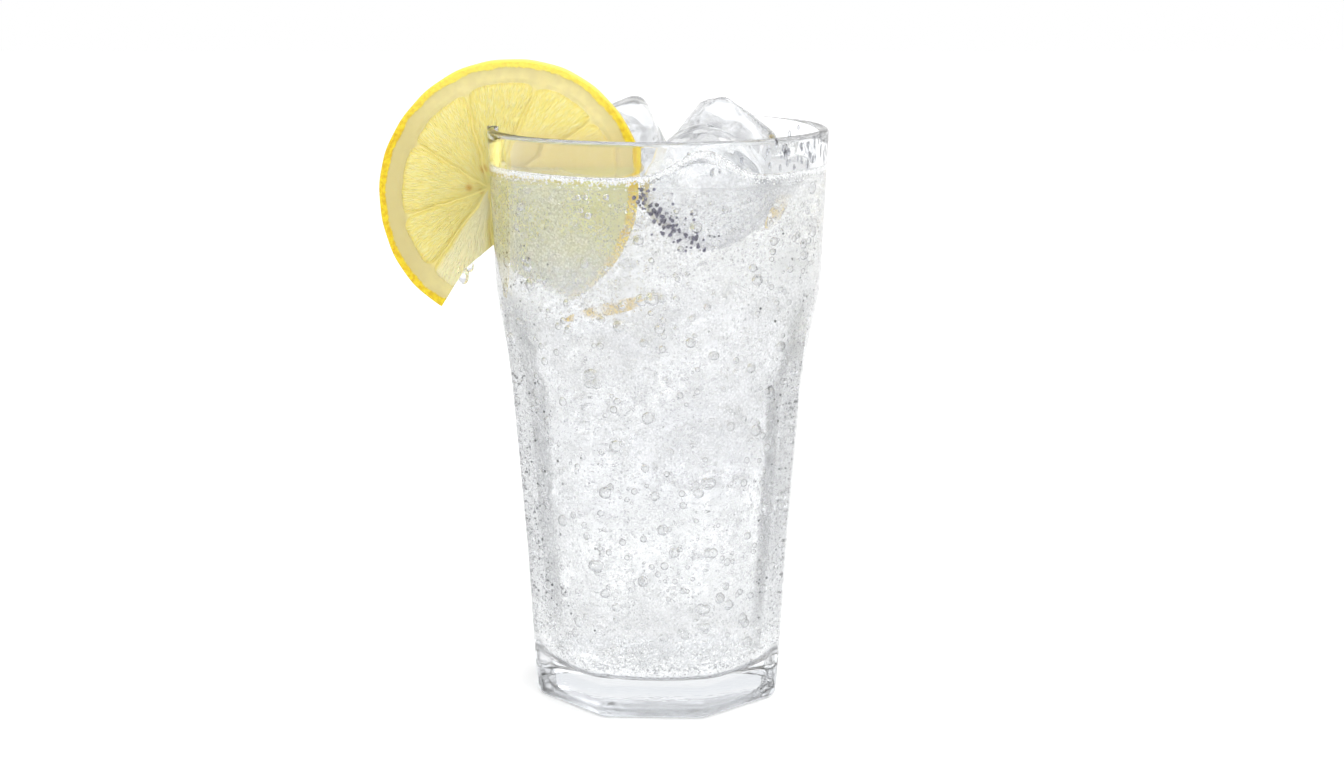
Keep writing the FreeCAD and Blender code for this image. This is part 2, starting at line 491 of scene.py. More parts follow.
def new_group(
    name: str, inputs: dict[str, str], outputs: tuple[str, ...]
) -> tuple[bpy.types.NodeTree, Nodes, Node, Node]:
    """Start a shader node group.

    Args:
        name: its name.
        inputs: its inputs' names and kinds.
        outputs: its outputs' names, all plain values.

    Returns:
        The group, its tree, its input node and its output node.
    """
    group = bpy.data.node_groups.new(name, "ShaderNodeTree")
    for label, kind in inputs.items():
        group.interface.new_socket(label, in_out="INPUT", socket_type="NodeSocket" + kind)
    for label in outputs:
        group.interface.new_socket(label, in_out="OUTPUT", socket_type="NodeSocketFloat")
    nodes = Nodes(group)
    entry = group.nodes.new("NodeGroupInput")
    leave = group.nodes.new("NodeGroupOutput")
    return group, nodes, entry, leave


def ripple_group() -> bpy.types.NodeTree:
    """Build the unevenness that glass, ice and drink share: long waves with a finer grain.

    Returns:
        A group that reads a place, the waves' and the grain's number to the metre, and the
        grain's share, and gives a height.
    """
    group, nodes, entry, leave = new_group(
        "surface_ripple",
        {"Vector": "Vector", "Waves": "Float", "Grain": "Float", "Share": "Float"},
        ("Height",),
    )
    waves = nodes.add("TexNoise", entry.outputs["Vector"], None, entry.outputs["Waves"], 2.0)
    grain = nodes.add("TexNoise", entry.outputs["Vector"], None, entry.outputs["Grain"], 2.0)
    fine = nodes.times(grain.outputs[0], entry.outputs["Share"])
    nodes.feed(leave.inputs["Height"], nodes.math("ADD", waves.outputs[0], fine))
    return group


@dataclass(frozen=True)
class ClearFinish:
    """A clear finish: glass, drink, ice or a drop of water."""

    name: str
    bends: float
    tint: Colour
    roughness: float = 0.0
    waves: float = 60.0
    grain: float = 900.0
    grain_share: float = 0.1
    relief: float = 0.0
    passes: float = 1.0
    glow: float = 0.0
    foot_relief: float = 0.0
    foot_height: float = 3.0 * MM
    stipple: float = 520.0
    foot_tint: Colour = rgb(234, 237, 241)
    foot_tint_top: float = 9.5 * MM

    def build(self, ripple: bpy.types.NodeTree) -> Material:
        """Build the material.

        Args:
            ripple: the shared unevenness group.

        Returns:
            The material.
        """
        material, nodes, shader = new_material(
            self.name,
            Base_Color=self.tint,
            Roughness=self.roughness,
            IOR=self.bends,
            Transmission_Weight=self.passes,
            Emission_Color=self.tint,
            Emission_Strength=self.glow,
        )
        if not self.relief:
            return material
        place = nodes.place()
        uneven = nodes.add("Group", place, self.waves, self.grain, self.grain_share, node_tree=ripple)
        bump = nodes.bump(shader, uneven.outputs["Height"], self.relief * MM)
        if self.foot_relief:
            above = nodes.add("SeparateXYZ", place).outputs["Z"]
            thick = nodes.step(above, self.foot_tint_top, self.foot_tint_top - MM)
            nodes.feed(shader.inputs["Base Color"], nodes.blend(thick, self.tint, self.foot_tint))
            low = nodes.step(above, self.foot_height, 0.0)
            stipple = nodes.add("TexNoise", place, None, self.stipple, 2.0).outputs[0]
            pressed = nodes.times(stipple, low)
            nodes.bump(shader, pressed, self.foot_relief * MM, Normal=bump.outputs["Normal"])
        return material


@dataclass(frozen=True)
class FizzyFinish:
    """The drink's skin: clear on top, and veiled by the finest fizz where it meets the glass."""

    name: str = "lemonade"
    bends: float = 1.333
    tint: Colour = rgb(249, 249, 249)
    # Painted shade: the grey of the dark rims of the finest bubbles.
    speck_grey: Colour = rgb(172, 173, 178)
    veil_top: float = 134.5 * MM
    veil_depth: float = 5.0 * MM
    cells: float = 1150.0
    speck_size: float = 0.45
    ring_share: float = 0.9
    relief: float = 0.15 * MM
    blur_low: float = 0.02
    blur_high: float = 0.20
    patches: float = 75.0

    def build(self) -> Material:
        """Build the material.

        Returns:
            The drink's material.
        """
        material, nodes, shader = new_material(self.name, IOR=self.bends, Transmission_Weight=1.0)
        place = nodes.place()
        up = nodes.add("SeparateXYZ", place).outputs["Z"]
        veil = nodes.step(up, self.veil_top, self.veil_top - self.veil_depth)
        cells = nodes.add("TexVoronoi", place, None, self.cells)
        chance = nodes.add("SeparateColor", cells.outputs["Color"]).outputs[0]
        size = nodes.times(chance, self.speck_size)
        inside = nodes.math("SUBTRACT", size, cells.outputs["Distance"])
        dome = nodes.step(inside, 0.0, 0.2)
        ring = nodes.times(nodes.step(inside, -0.02, 0.03), nodes.step(inside, 0.16, 0.06))
        patch = nodes.add("TexNoise", place, None, self.patches, 3.0, 0.55).outputs[0]
        thick = nodes.times(nodes.step(patch, 0.35, 0.65), veil)
        blur = nodes.add("MapRange", thick, 0.0, 1.0, self.blur_low, self.blur_high).outputs[0]
        nodes.feed(shader.inputs["Roughness"], nodes.times(blur, veil))
        # Painted shade: grey rings stand in for the dark rims of the finest bubbles by the wall.
        grey = nodes.times(ring, veil, self.ring_share)
        nodes.feed(shader.inputs["Base Color"], nodes.blend(grey, self.tint, self.speck_grey))
        nodes.bump(shader, nodes.times(dome, veil), self.relief)
        return material


@dataclass(frozen=True)
class CloudFinish:
    """The white cloud of trapped air in the middle of a block of ice."""

    name: str = "ice_cloud"
    colour: Colour = (0.99, 0.99, 0.99, 1.0)
    density: float = 0.5
    patches: float = 220.0
    glow: float = 0.0
    roughness: float = 0.9

    def build(self) -> Material:
        """Build the material.

        Returns:
            The material, thin at its rim and patchy inside.
        """
        material, nodes, shader = new_material(
            self.name,
            Base_Color=self.colour,
            Roughness=self.roughness,
            Emission_Color=self.colour,
            Emission_Strength=self.glow,
        )
        patches = nodes.add("TexNoise", nodes.place(), None, self.patches, 3.0, 0.6)
        facing = nodes.add("LayerWeight", 0.35).outputs["Facing"]
        middle = nodes.step(facing, 0.95, 0.15)
        patch = nodes.step(patches.outputs[0], 0.38, 0.68)
        nodes.feed(shader.inputs["Alpha"], nodes.times(middle, patch, self.density))
        return material


@dataclass(frozen=True)
class VeilFinish:
    """Gas too fine to model singly, as a patchy white veil of dots against the glass."""

    name: str = "fizz_veil"
    colour: Colour = (0.95, 0.95, 0.95, 1.0)
    thinnest: float = 0.18
    thickest: float = 0.72
    thick_below: float = 114.0 * MM
    thin_above: float = 128.0 * MM
    top_share: float = 0.9
    dots: float = 1500.0
    patches: float = 62.0
    # Painted light: the veil glows, most towards the foot.
    inner_edge: float = 24.0 * MM
    glow: float = 0.14
    glow_below: float = 40.0 * MM
    glow_full: float = 12.0 * MM
    dot_share: float = 0.55
    roughness: float = 0.9

    def build(self) -> Material:
        """Build the material.

        Returns:
            The veil's material, clear away from the wall.
        """
        material, nodes, shader = new_material(
            self.name, Base_Color=self.colour, Roughness=self.roughness, Emission_Strength=self.glow
        )
        place = nodes.place()
        parts = nodes.add("SeparateXYZ", place)
        flat = nodes.add("CombineXYZ", parts.outputs["X"], parts.outputs["Y"])
        away = nodes.vector("LENGTH", flat.outputs[0]).outputs["Value"]
        at_wall = nodes.step(away, self.inner_edge, self.inner_edge + MM)
        patch = nodes.add("TexNoise", place, None, self.patches, 3.0, 0.55).outputs[0]
        thick = nodes.add("MapRange", patch, 0.35, 0.68, self.thinnest, self.thickest).outputs[0]
        dots = nodes.add("TexVoronoi", place, None, self.dots)
        speckle = nodes.step(dots.outputs["Distance"], 0.75, 0.15)
        dotted = nodes.math("ADD", nodes.times(speckle, self.dot_share), self.dot_share)
        rising = nodes.add(
            "MapRange", parts.outputs["Z"], self.thick_below, self.thin_above, 1.0, self.top_share
        ).outputs[0]
        nodes.feed(shader.inputs["Alpha"], nodes.times(thick, dotted, rising, at_wall))
        # Painted light: the veil glows white from glow_below down, fully by glow_full.
        low = nodes.step(parts.outputs["Z"], self.glow_below, self.glow_full)
        lit = nodes.blend(low, (0.0, 0.0, 0.0, 1.0), self.colour)
        nodes.feed(shader.inputs["Emission Color"], lit)
        return material


# ---------------------------------------------------------------- tumbler


@dataclass
class Tumbler:
    """The pressed glass: a round band on eight scooped panels, with a turned bore."""

    height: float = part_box("tumbler")[1][2]
    rim_radius: float = 43.0 * MM
    band_height: float = 45.0 * MM
    band_taper: float = 1.9 * MM
    base_flats: float = 61.6 * MM
    panel_count: int = 8
    panel_turn: float = math.radians(-2.5)
    panel_scoop: float = 21.0 * MM
    edge_ease: float = 0.35 * MM
    foot_round: float = 1.6 * MM
    wall: float = 2.6 * MM
    base_thickness: float = 9.0 * MM
    floor_round: float = 6.0 * MM
    punt_radius: float = 24.0 * MM
    punt_depth: float = 1.3 * MM
    steps: int = 256
    edge_gather: float = 0.55
    edge_heights: Span = (8.0 * MM, 40.0 * MM)
    edge_softness: Span = (0.5 * MM, 3.2 * MM)
    shoulder_ease: float = 5.0 * MM

    def __post_init__(self) -> None:
        """Work out the heights and widths that follow from the sizes."""
        self.band_foot = self.height - self.band_height
        self.scoop_foot = self.band_foot - self.panel_scoop
        self.half_panel = math.pi / self.panel_count
        self.foot_radius = self.base_flats / 2 / math.cos(self.half_panel) - self.edge_ease
        self.band_foot_radius = self.rim_radius - self.band_taper
        foot_share = self.scoop_foot / self.band_foot
        scoop_radius = self.foot_radius + (self.band_foot_radius - self.foot_radius) * foot_share
        self.scoop_flats = (scoop_radius + self.edge_ease) * math.cos(self.half_panel)
        self.panel_slope = (self.scoop_flats - self.base_flats / 2) / self.scoop_foot
        rise = self.band_foot_radius - self.scoop_flats - self.panel_scoop * self.panel_slope
        self.scoop_curve = rise / self.panel_scoop**2

    def round_radius(self, up: np.ndarray) -> np.ndarray:
        """The turned outside's radius.

        Args:
            up: heights.

        Returns:
            The radius at each height.
        """
        heights = [0.0, self.band_foot, self.height]
        return np.interp(up, heights, [self.foot_radius, self.band_foot_radius, self.rim_radius])

    def flats_reach(self, up: np.ndarray) -> np.ndarray:
        """How far a panel's middle lies from the axis, its scooped top included.

        Args:
            up: heights.

        Returns:
            The reach at each height.
        """
        over = np.maximum(up - self.scoop_foot, 0.0)
        return self.base_flats / 2 + self.panel_slope * up + self.scoop_curve * over**2

    def bore_radius(self, up: np.ndarray | float) -> np.ndarray:
        """The bore's radius, its two shoulders eased.

        Args:
            up: heights.

        Returns:
            The radius at each height.
        """
        heights = np.array([self.base_thickness, self.scoop_foot, self.band_foot, self.height])
        widths = np.array([
            self.base_flats / 2 + self.panel_slope * self.base_thickness,
            self.scoop_flats,
            self.band_foot_radius,
            self.rim_radius,
        ]) - self.wall
        reach = self.shoulder_ease
        shifts = np.linspace(-reach, reach, 9)
        eased = np.mean([np.interp(up + shift, heights, widths) for shift in shifts], axis=0)
        inner_end = np.interp(up, heights, widths)
        near_ends = np.minimum(np.abs(up - heights[0]), np.abs(self.height - up)) < reach
        return np.where(near_ends, inner_end, eased)

    def outer_radius(self, round_the: np.ndarray, up: np.ndarray) -> np.ndarray:
        """The outside's radius in a direction, with the panels cut and their edges soft.

        Args:
            round_the: directions round the axis, in radians.
            up: heights.

        Returns:
            The radius at each direction and height.
        """
        width = 2 * self.half_panel
        off_middle = (round_the - self.panel_turn + self.half_panel) % width - self.half_panel
        flat = self.flats_reach(up) / np.cos(off_middle)
        turned = self.round_radius(up)
        soft = np.interp(up, self.edge_heights, self.edge_softness)
        gap = np.clip(0.5 + (turned - flat) / (2 * soft), 0, 1)
        return turned * (1 - gap) + flat * gap - soft * gap * (1 - gap)

    def outline(self) -> list[Span]:
        """The wall's outline, from the foot's middle out, over the lip and down to the floor.

        Returns:
            Pairs of radius and height.
        """
        dome = ((0.0, 1.0), (0.5, 1.0), (0.85, 0.9), (0.96, 0.45), (1.0, 0.0))
        foot = [(self.punt_radius * out, self.punt_depth * share) for out, share in dome]
        foot += [(self.punt_radius + 3 * MM, 0.0)]
        turn = [math.radians(angle) for angle in (0, 20, 40, 60, 80, 90)]
        foot += [
            (
                self.foot_radius - self.foot_round * (1 - math.sin(angle)),
                self.foot_round * (1 - math.cos(angle)),
            )
            for angle in turn
        ]
        lip = self.wall / 2
        heights = np.concatenate([
            np.linspace(self.foot_round * 2, self.scoop_foot, 26),
            np.linspace(self.scoop_foot, self.band_foot + 3 * MM, 26)[1:],
            np.linspace(self.band_foot + 5 * MM, self.height - lip, 10),
        ])
        outside = [(float(self.round_radius(up)), float(up)) for up in heights]
        middle = self.rim_radius - lip
        brim = [
            (middle + lip * math.cos(angle), self.height - lip + lip * math.sin(angle))
            for angle in np.linspace(0, math.pi, 13)[1:-1]
        ]
        lowest = self.base_thickness + self.floor_round
        inside = [
            (float(self.bore_radius(up)), float(up))
            for up in np.linspace(self.height - lip, lowest, 44)
        ]
        corner = float(self.bore_radius(lowest)) - self.floor_round
        floor = [
            (corner + self.floor_round * math.cos(angle), lowest - self.floor_round * math.sin(angle))
            for angle in np.linspace(0, math.pi / 2, 9)[1:]
        ]
        floor += [(corner * share, self.base_thickness) for share in (0.66, 0.33)]
        return foot + outside + brim + inside + floor + [(0.0, self.base_thickness)]

    def build(self, finish: Material) -> Piece:
        """Turn the glass and press its panels.

        Args:
            finish: the glass material.

        Returns:
            The tumbler.
        """
        piece = Bench.turned("tumbler_glass", self.outline(), self.steps)
        rows = Bench.places(piece)
        radius = np.hypot(rows[:, 0], rows[:, 1])
        round_the = np.arctan2(rows[:, 1], rows[:, 0])
        round_the = self.gather_to_edges(round_the)
        up = rows[:, 2]
        turned = self.round_radius(up)
        outside = (radius > turned - self.foot_round - 0.01 * MM) & (up < self.band_foot + 4 * MM)
        inset = np.where(outside, turned - radius, 0.0)
        pressed = self.outer_radius(round_the, up) - inset
        low_foot = (up < 0.001 * MM) & ~outside & (radius > self.punt_radius + MM)
        scaled = radius * self.outer_radius(round_the, up) / turned
        radius = np.where(outside, pressed, np.where(low_foot, scaled, radius))
        rows[:, 0] = radius * np.cos(round_the)
        rows[:, 1] = radius * np.sin(round_the)
        Bench.set_places(piece, rows)
        Bench.smooth(piece, SMOOTH_BELOW)
        Bench.dress(piece, finish, Slot.GLASS, "tumbler")
        return piece

    def gather_to_edges(self, round_the: np.ndarray) -> np.ndarray:
        """Draw directions towards the panels' edges, where the outside turns fastest.

        Args:
            round_the: evenly spaced directions.

        Returns:
            The same directions, closer together at the edges.
        """
        count = self.panel_count
        phase = (round_the - self.panel_turn) * count
        return self.panel_turn + (phase + self.edge_gather * np.sin(phase)) / count


# ---------------------------------------------------------------- drink


@dataclass
class Drink:
    """The lemonade: it fills the bore and climbs a little on everything it touches."""

    tumbler: Tumbler
    level: float = 136.0 * MM
    into_wall: float = 0.12 * MM
    climb: float = 1.5 * MM
    climb_reach: float = 1.9 * MM
    bridge: float = 6.5 * MM
    bridge_direction: float = math.radians(-74.5)
    bridge_width: float = 8.5 * MM
    bridge_start: float = 0.72
    bridge_ease: float = 2.2 * MM
    swell: float = 0.15 * MM
    steps: int = 224

    def surface(self, rows: np.ndarray) -> np.ndarray:
        """The height of the drink's surface, with its climb on the glass and up to the ice.

        Args:
            rows: places, one row each.

        Returns:
            The surface's height at each place.
        """
        bore = float(self.tumbler.bore_radius(self.level))
        from_wall = np.maximum(bore - np.hypot(rows[:, 0], rows[:, 1]), 0)
        height = self.climb * np.exp(-from_wall / self.climb_reach)
        along = np.array([math.cos(self.bridge_direction), math.sin(self.bridge_direction)])
        aside = rows[:, 0] * along[1] - rows[:, 1] * along[0]
        out = rows[:, 0] * along[0] + rows[:, 1] * along[1]
        near = 1 / (1 + np.exp(-(out - self.bridge_start * bore) / self.bridge_ease))
        height += self.bridge * near * np.exp(-((aside / self.bridge_width) ** 2))
        slow = np.sin(rows[:, 0] / (7 * MM) + 1.0) * np.sin(rows[:, 1] / (9 * MM))
        return self.level + height + self.swell * slow

    def outline(self) -> list[Span]:
        """The drink's outline from its foot's middle out, up the wall and over its surface.

        Returns:
            Pairs of radius and height.
        """
        glass = self.tumbler
        floor = glass.base_thickness - self.into_wall
        lowest = glass.base_thickness + glass.floor_round
        curve = glass.floor_round + self.into_wall
        corner = float(glass.bore_radius(lowest)) - glass.floor_round
        foot = [(corner * share, floor) for share in (0.0, 0.33, 0.66, 1.0)]
        foot += [
            (corner + curve * math.sin(angle), lowest - curve * math.cos(angle))
            for angle in np.linspace(0, math.pi / 2, 9)[1:-1]
        ]
        wall = [
            (float(glass.bore_radius(up)) + self.into_wall, float(up))
            for up in np.linspace(lowest, self.level, 52)
        ]
        edge = wall[-1][0]
        drawn_in = np.concatenate([np.linspace(0.05, 3.0, 14), np.linspace(4.0, edge / MM, 22)]) * MM
        return foot + wall + [(float(edge - inward), self.level) for inward in drawn_in]

    def build(self, finish: Material, rooms: list[Piece], voids: Piece) -> Piece:
        """Turn the drink, raise its surface, cut it round the ice and let the bubbles in.

        Args:
            finish: the drink's material.
            rooms: shapes of the ice that it leaves free, used up here.
            voids: the bubbles' walls, their faces into the bubbles, used up here.

        Returns:
            The drink.
        """
        piece = Bench.turned("lemonade", self.outline(), self.steps)
        piece.data.materials.append(finish)
        rows = Bench.places(piece)
        top = rows[:, 2] > self.level - 0.01 * MM
        rows[top, 2] = self.surface(rows[top])
        Bench.set_places(piece, rows)
        for room in rooms:
            Bench.cut(piece, room)
        Bench.pick(piece)
        voids.select_set(True)
        bpy.ops.object.join()
        Bench.smooth(piece, SMOOTH_BELOW)
        Bench.hang(piece, Slot.DRINK, "drink")
        return piece


# ---------------------------------------------------------------- ice


@dataclass
class IceBlock:
    """One melted block of ice with a cloudy middle."""

    name: str
    seed: int
    node: str | None = None
    middle: tuple[float, float, float] = (0.0, 0.0, 0.0)
    side: tuple[float, float, float] = (22.0, 20.0, 21.0)
    turns: tuple[float, float, float] = (0.0, 0.0, 0.0)
    voxel: float = 0.8 * MM
    melt: float = 0.45 * MM
    roundness: float = 0.2
    overlap: float = 0.06 * MM
    bevel: float = 4.5 * MM
    wave_lengths: tuple[float, ...] = (15.0, 9.0, 6.0, 4.0)
    wave_share: float = 1 / 34
    cloud_share: float = 0.56
    cloud_melt: float = 3.0

    def start(self) -> Piece:
        """Make the block's plain form, from its construction node or from a bevelled cube.

        Returns:
            The plain block, its place in its mesh.
        """
        if self.node:
            return Bench.copy_node(self.node, self.name)
        Bench.clear()
        bpy.ops.mesh.primitive_cube_add(size=MM)
        piece = Bench.named(self.name)
        bpy.ops.object.mode_set(mode="EDIT")
        bpy.ops.mesh.select_all(action="SELECT")
        bpy.ops.transform.resize(value=self.side)
        bpy.ops.mesh.bevel(offset=self.bevel, segments=4)
        bpy.ops.object.mode_set(mode="OBJECT")
        turn = Matrix.Rotation(math.radians(self.turns[2]), 4, "Z")
        turn @= Matrix.Rotation(math.radians(self.turns[1]), 4, "Y")
        turn @= Matrix.Rotation(math.radians(self.turns[0]), 4, "X")
        piece.data.transform(Matrix.Translation(Vector(self.middle) * MM) @ turn)
        return piece

    def melted(self, rows: np.ndarray, normals: np.ndarray) -> np.ndarray:
        """Wear a surface in long soft waves.

        Args:
            rows: the surface's places.
            normals: its outward directions.

        Returns:
            The worn places.
        """
        random = np.random.default_rng(self.seed)
        depth = np.zeros(len(rows))
        for size in self.wave_lengths:
            direction = random.normal(size=3)
            direction /= np.linalg.norm(direction)
            phase = random.uniform(0, math.tau)
            wave = np.sin(rows @ direction / (size * MM) * math.tau + phase)
            depth += wave * size * self.wave_share
        return rows + normals * (depth * self.melt)[:, None]

    def build(self, finish: Material, cloud: Material) -> Piece:
        """Shape the block and put its cloud in.

        Args:
            finish: the ice's material.
            cloud: the cloud's material.

        Returns:
            The block.
        """
        piece = self.start()
        Bench.apply(piece, "REMESH", mode="VOXEL", voxel_size=self.voxel)
        Bench.apply(piece, "SMOOTH", factor=0.8, iterations=4)
        rows = Bench.places(piece)
        middle = (rows.max(axis=0) + rows.min(axis=0)) / 2
        reach = np.linalg.norm(rows - middle, axis=1)
        swell = 1 - self.roundness + self.roundness * reach.mean() / reach
        Bench.set_places(piece, middle + (rows - middle) * swell[:, None])
        Bench.set_places(piece, self.melted(Bench.places(piece), self.normals(piece)))
        Bench.smooth(piece)
        Bench.dress(piece, finish, Slot.ICE, self.node)
        self.build_cloud(piece, cloud)
        return piece

    @staticmethod
    def normals(piece: Piece) -> np.ndarray:
        """Read a mesh's vertex normals.

        Args:
            piece: the mesh object.

        Returns:
            One outward direction for each vertex.
        """
        flat = np.empty(len(piece.data.vertices) * 3)
        piece.data.vertices.foreach_get("normal", flat)
        return flat.reshape(-1, 3)

    def build_cloud(self, block: Piece, finish: Material) -> None:
        """Put a lumpy cloud in the block's middle.

        Args:
            block: the finished block.
            finish: the cloud's material.
        """
        rows = Bench.places(block)
        middle = rows.mean(axis=0)
        reach = (rows.max(axis=0) - rows.min(axis=0)) / 2
        turn = Matrix.Translation(middle)
        piece = Bench.ball(f"{self.name}_cloud", reach * self.cloud_share, turn)
        lumpy = self.melted(Bench.places(piece), self.normals(piece) * self.cloud_melt)
        Bench.set_places(piece, lumpy)
        Bench.smooth(piece)
        Bench.dress(piece, finish, Slot.ICE)

    def room(self, block: Piece) -> Piece:
        """Make the shape that the drink leaves free for this block.

        Args:
            block: the finished block.

        Returns:
            A copy a touch smaller than the block, so that no gap shows.
        """
        room = block.copy()
        room.data = block.data.copy()
        bpy.context.scene.collection.objects.link(room)
        Bench.set_places(room, Bench.places(block) - self.normals(block) * self.overlap)
        return room


@dataclass(frozen=True)
class Shine:
    """A soft yellow gleam of the slice, caught in the cloudy drink."""

    name: str
    middle: tuple[float, float, float]
    reach: tuple[float, float, float]
    lean: float

    def build(self, finish: Material) -> Piece:
        """Model the gleam as a flat, leaning wisp.

        Args:
            finish: the gleam's material.

        Returns:
            The gleam.
        """
        turn = Matrix.Rotation(math.radians(self.lean), 4, "Y")
        placed = Matrix.Translation(Vector(self.middle) * MM) @ turn
        piece = Bench.ball(self.name, Vector(self.reach) * MM, placed)
        Bench.smooth(piece)
        Bench.dress(piece, finish, Slot.DRINK)
        return piece


SHINES = (
    Shine("shine_by_ice", (27.0, -22.0, 128.0), (1.8, 0.8, 5.5), 32.0),
    Shine("shine_under_slice", (-10.0, -30.0, 105.5), (12.0, 0.7, 1.5), -16.0),
)


# ---------------------------------------------------------------- bubbles


@dataclass
class Swarm:
    """Many small round things, modelled once and joined into one mesh."""

    name: str
    detail: int = 1
    seed: int = 7

    def bead(self) -> tuple[np.ndarray, np.ndarray]:
        """Model one bead.

        Returns:
            Its vertices at radius 1 and its triangles.
        """
        Bench.clear()
        bpy.ops.mesh.primitive_ico_sphere_add(subdivisions=self.detail, radius=1.0)
        bead = bpy.context.object
        rows = Bench.places(bead)
        faces = np.empty(len(bead.data.polygons) * 3, dtype=int)
        bead.data.polygons.foreach_get("vertices", faces)
        bpy.data.objects.remove(bead)
        return rows, faces.reshape(-1, 3)

    def build(self, places: np.ndarray, sizes: np.ndarray, inward: bool = False) -> Piece:
        """Copy the bead to every place.

        Args:
            places: the beads' middles, one row each.
            sizes: their radii, one each or three for an uneven bead.
            inward: whether the faces look into the bead, as a bubble's wall in a drink does.

        Returns:
            The joined beads.
        """
        rows, faces = self.bead()
        sizes = sizes.reshape(len(places), -1)
        copies = rows[None] * sizes[:, None] + places[:, None]
        starts = np.arange(len(places))[:, None, None] * len(rows)
        joined = (faces[None] + starts).reshape(-1, 3)
        if inward:
            joined = joined[:, ::-1]
        mesh = bpy.data.meshes.new(self.name)
        mesh.from_pydata(copies.reshape(-1, 3).tolist(), [], joined.tolist())
        piece = bpy.data.objects.new(self.name, mesh)
        bpy.context.scene.collection.objects.link(piece)
        Bench.smooth(piece)
        return piece


@dataclass
class Bubbles:
    """The gas in the drink: rings on the wall, fine fizz, and foam at the foot."""

    tumbler: Tumbler
    drink: Drink
    ring_count: int = 230
    middling_count: int = 520
    small_count: int = 1700
    fizz_count: int = 9000
    foam_count: int = 4500
    edge_count: int = 3600
    drop_count: int = 90
    ice_fizz_count: int = 100
    side_count: int = 900
    ring_sizes: Span = (1.0, 1.75)
    middling_sizes: Span = (0.55, 1.0)
    small_sizes: Span = (0.25, 0.5)
    fizz_sizes: Span = (0.09, 0.24)
    foam_sizes: Span = (0.15, 0.5)
    edge_sizes: Span = (0.12, 0.3)
    drop_sizes: Span = (0.18, 0.5)
    side_sizes: Span = (0.18, 0.42)
    ice_fizz_sizes: Span = (0.22, 0.62)
    veil_inset: float = 1.9 * MM
    foam_height: float = 11 * MM
    against_wall: float = 0.3 * MM
    sight_slope: float = 0.15
    spread: float = 1.5 * MM
    seed: int = 11
    random: np.random.Generator = field(init=False)

    def __post_init__(self) -> None:
        """Start the seeded randomness."""
        self.random = np.random.default_rng(self.seed)

    def radii(self, span: Span, count: int) -> np.ndarray:
        """Draw radii from a span that is given in millimetres."""
        return self.random.uniform(*span, count) * MM

    def directions(self, count: int) -> np.ndarray:
        """Draw directions from the whole circle."""
        return self.random.uniform(-math.pi, math.pi, count)

    def on_wall(self, sizes: np.ndarray, lowest: float) -> np.ndarray:
        """Choose places where beads touch the bore.

        Args:
            sizes: their radii.
            lowest: the lowest height.

        Returns:
            Their middles.
        """
        up = self.random.uniform(lowest, self.drink.level - 2 * MM, len(sizes))
        round_the = self.directions(len(sizes))
        reach = self.tumbler.bore_radius(up) - sizes - 0.05 * MM
        return self.around(reach, round_the, up)

    @staticmethod
    def around(reach: np.ndarray, round_the: np.ndarray, up: np.ndarray) -> np.ndarray:
        """Turn reaches, directions and heights into places.

        Args:
            reach: distances from the axis.
            round_the: directions round it, in radians.
            up: heights.

        Returns:
            The places, one row each.
        """
        return np.column_stack([reach * np.cos(round_the), reach * np.sin(round_the), up])

    def scatter(self, name: str, places: np.ndarray, sizes: np.ndarray, finish: Material) -> Piece:
        """Put small beads of the drink's gas at places that stay clear of the slice.

        Args:
            name: the piece's name.
            places: the beads' middles.
            sizes: their radii.
            finish: the beads' material.

        Returns:
            The beads as one piece.
        """
        clear = self.clear_of_slice(places, sizes)
        piece = Swarm(name, 1).build(places[clear], sizes[clear])
        Bench.dress(piece, finish, Slot.DRINK)
        return piece

    @staticmethod
    def clear_of_slice(places: np.ndarray, sizes: np.ndarray) -> np.ndarray:
        """Tell which beads stay clear of the slice.

        Args:
            places: the beads' middles.
            sizes: their radii.

        Returns:
            True for each bead outside the slice's box.
        """
        low, high = (np.array(corner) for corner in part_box("lemon_slice"))
        inside = (places > low - sizes[:, None]) & (places < high + sizes[:, None])
        return ~inside.all(axis=1)

    def build_voids(self, finish: Material) -> Piece:
        """Make the walls of the bubbles that are large enough to see through.

        Args:
            finish: the material of the drink where it meets the gas.

        Returns:
            One mesh of bubble walls, their faces into the bubbles.
        """
        floor = self.tumbler.base_thickness + self.tumbler.floor_round
        large = self.radii(self.ring_sizes, self.ring_count)
        middling = self.radii(self.middling_sizes, self.middling_count)
        small = self.radii(self.small_sizes, self.small_count)
        meshes = []
        kinds = (("rings", large, 2), ("middling_rings", middling, 2), ("small_rings", small, 1))
        for name, sizes, detail in kinds:
            places = self.on_wall(sizes, floor)
            clear = self.clear_of_slice(places, sizes)
            meshes.append(Swarm(name, detail).build(places[clear], sizes[clear], inward=True))
        Bench.pick(meshes[0])
        for mesh in meshes[1:]:
            mesh.select_set(True)
        bpy.ops.object.join()
        meshes[0].data.materials.append(finish)
        return meshes[0]

    def build_veil(self, finish: Material) -> Piece:
        """Hang the veil of the finest fizz just inside the wall.

        Args:
            finish: the veil's material.

        Returns:
            The veil.
        """
        glass = self.tumbler
        lowest = glass.base_thickness + 2.0 * MM
        ups = np.linspace(glass.base_thickness + glass.floor_round, self.drink.level - 2.4 * MM, 44)
        wall = [(float(glass.bore_radius(up)) - self.veil_inset, float(up)) for up in ups]
        corner = wall[0][0]
        foot = [(0.0, lowest), (corner - 5 * MM, lowest), (corner - 1.6 * MM, lowest + 1.6 * MM)]
        edge, highest = wall[-1][0], wall[-1][1] + 0.3 * MM
        top = [(edge - 0.5 * MM, highest), (0.0, highest)]
        piece = Bench.turned("fizz_veil", foot + wall + top, 128)
        Bench.smooth(piece, SMOOTH_BELOW)
        Bench.dress(piece, finish, Slot.DRINK)
        return piece

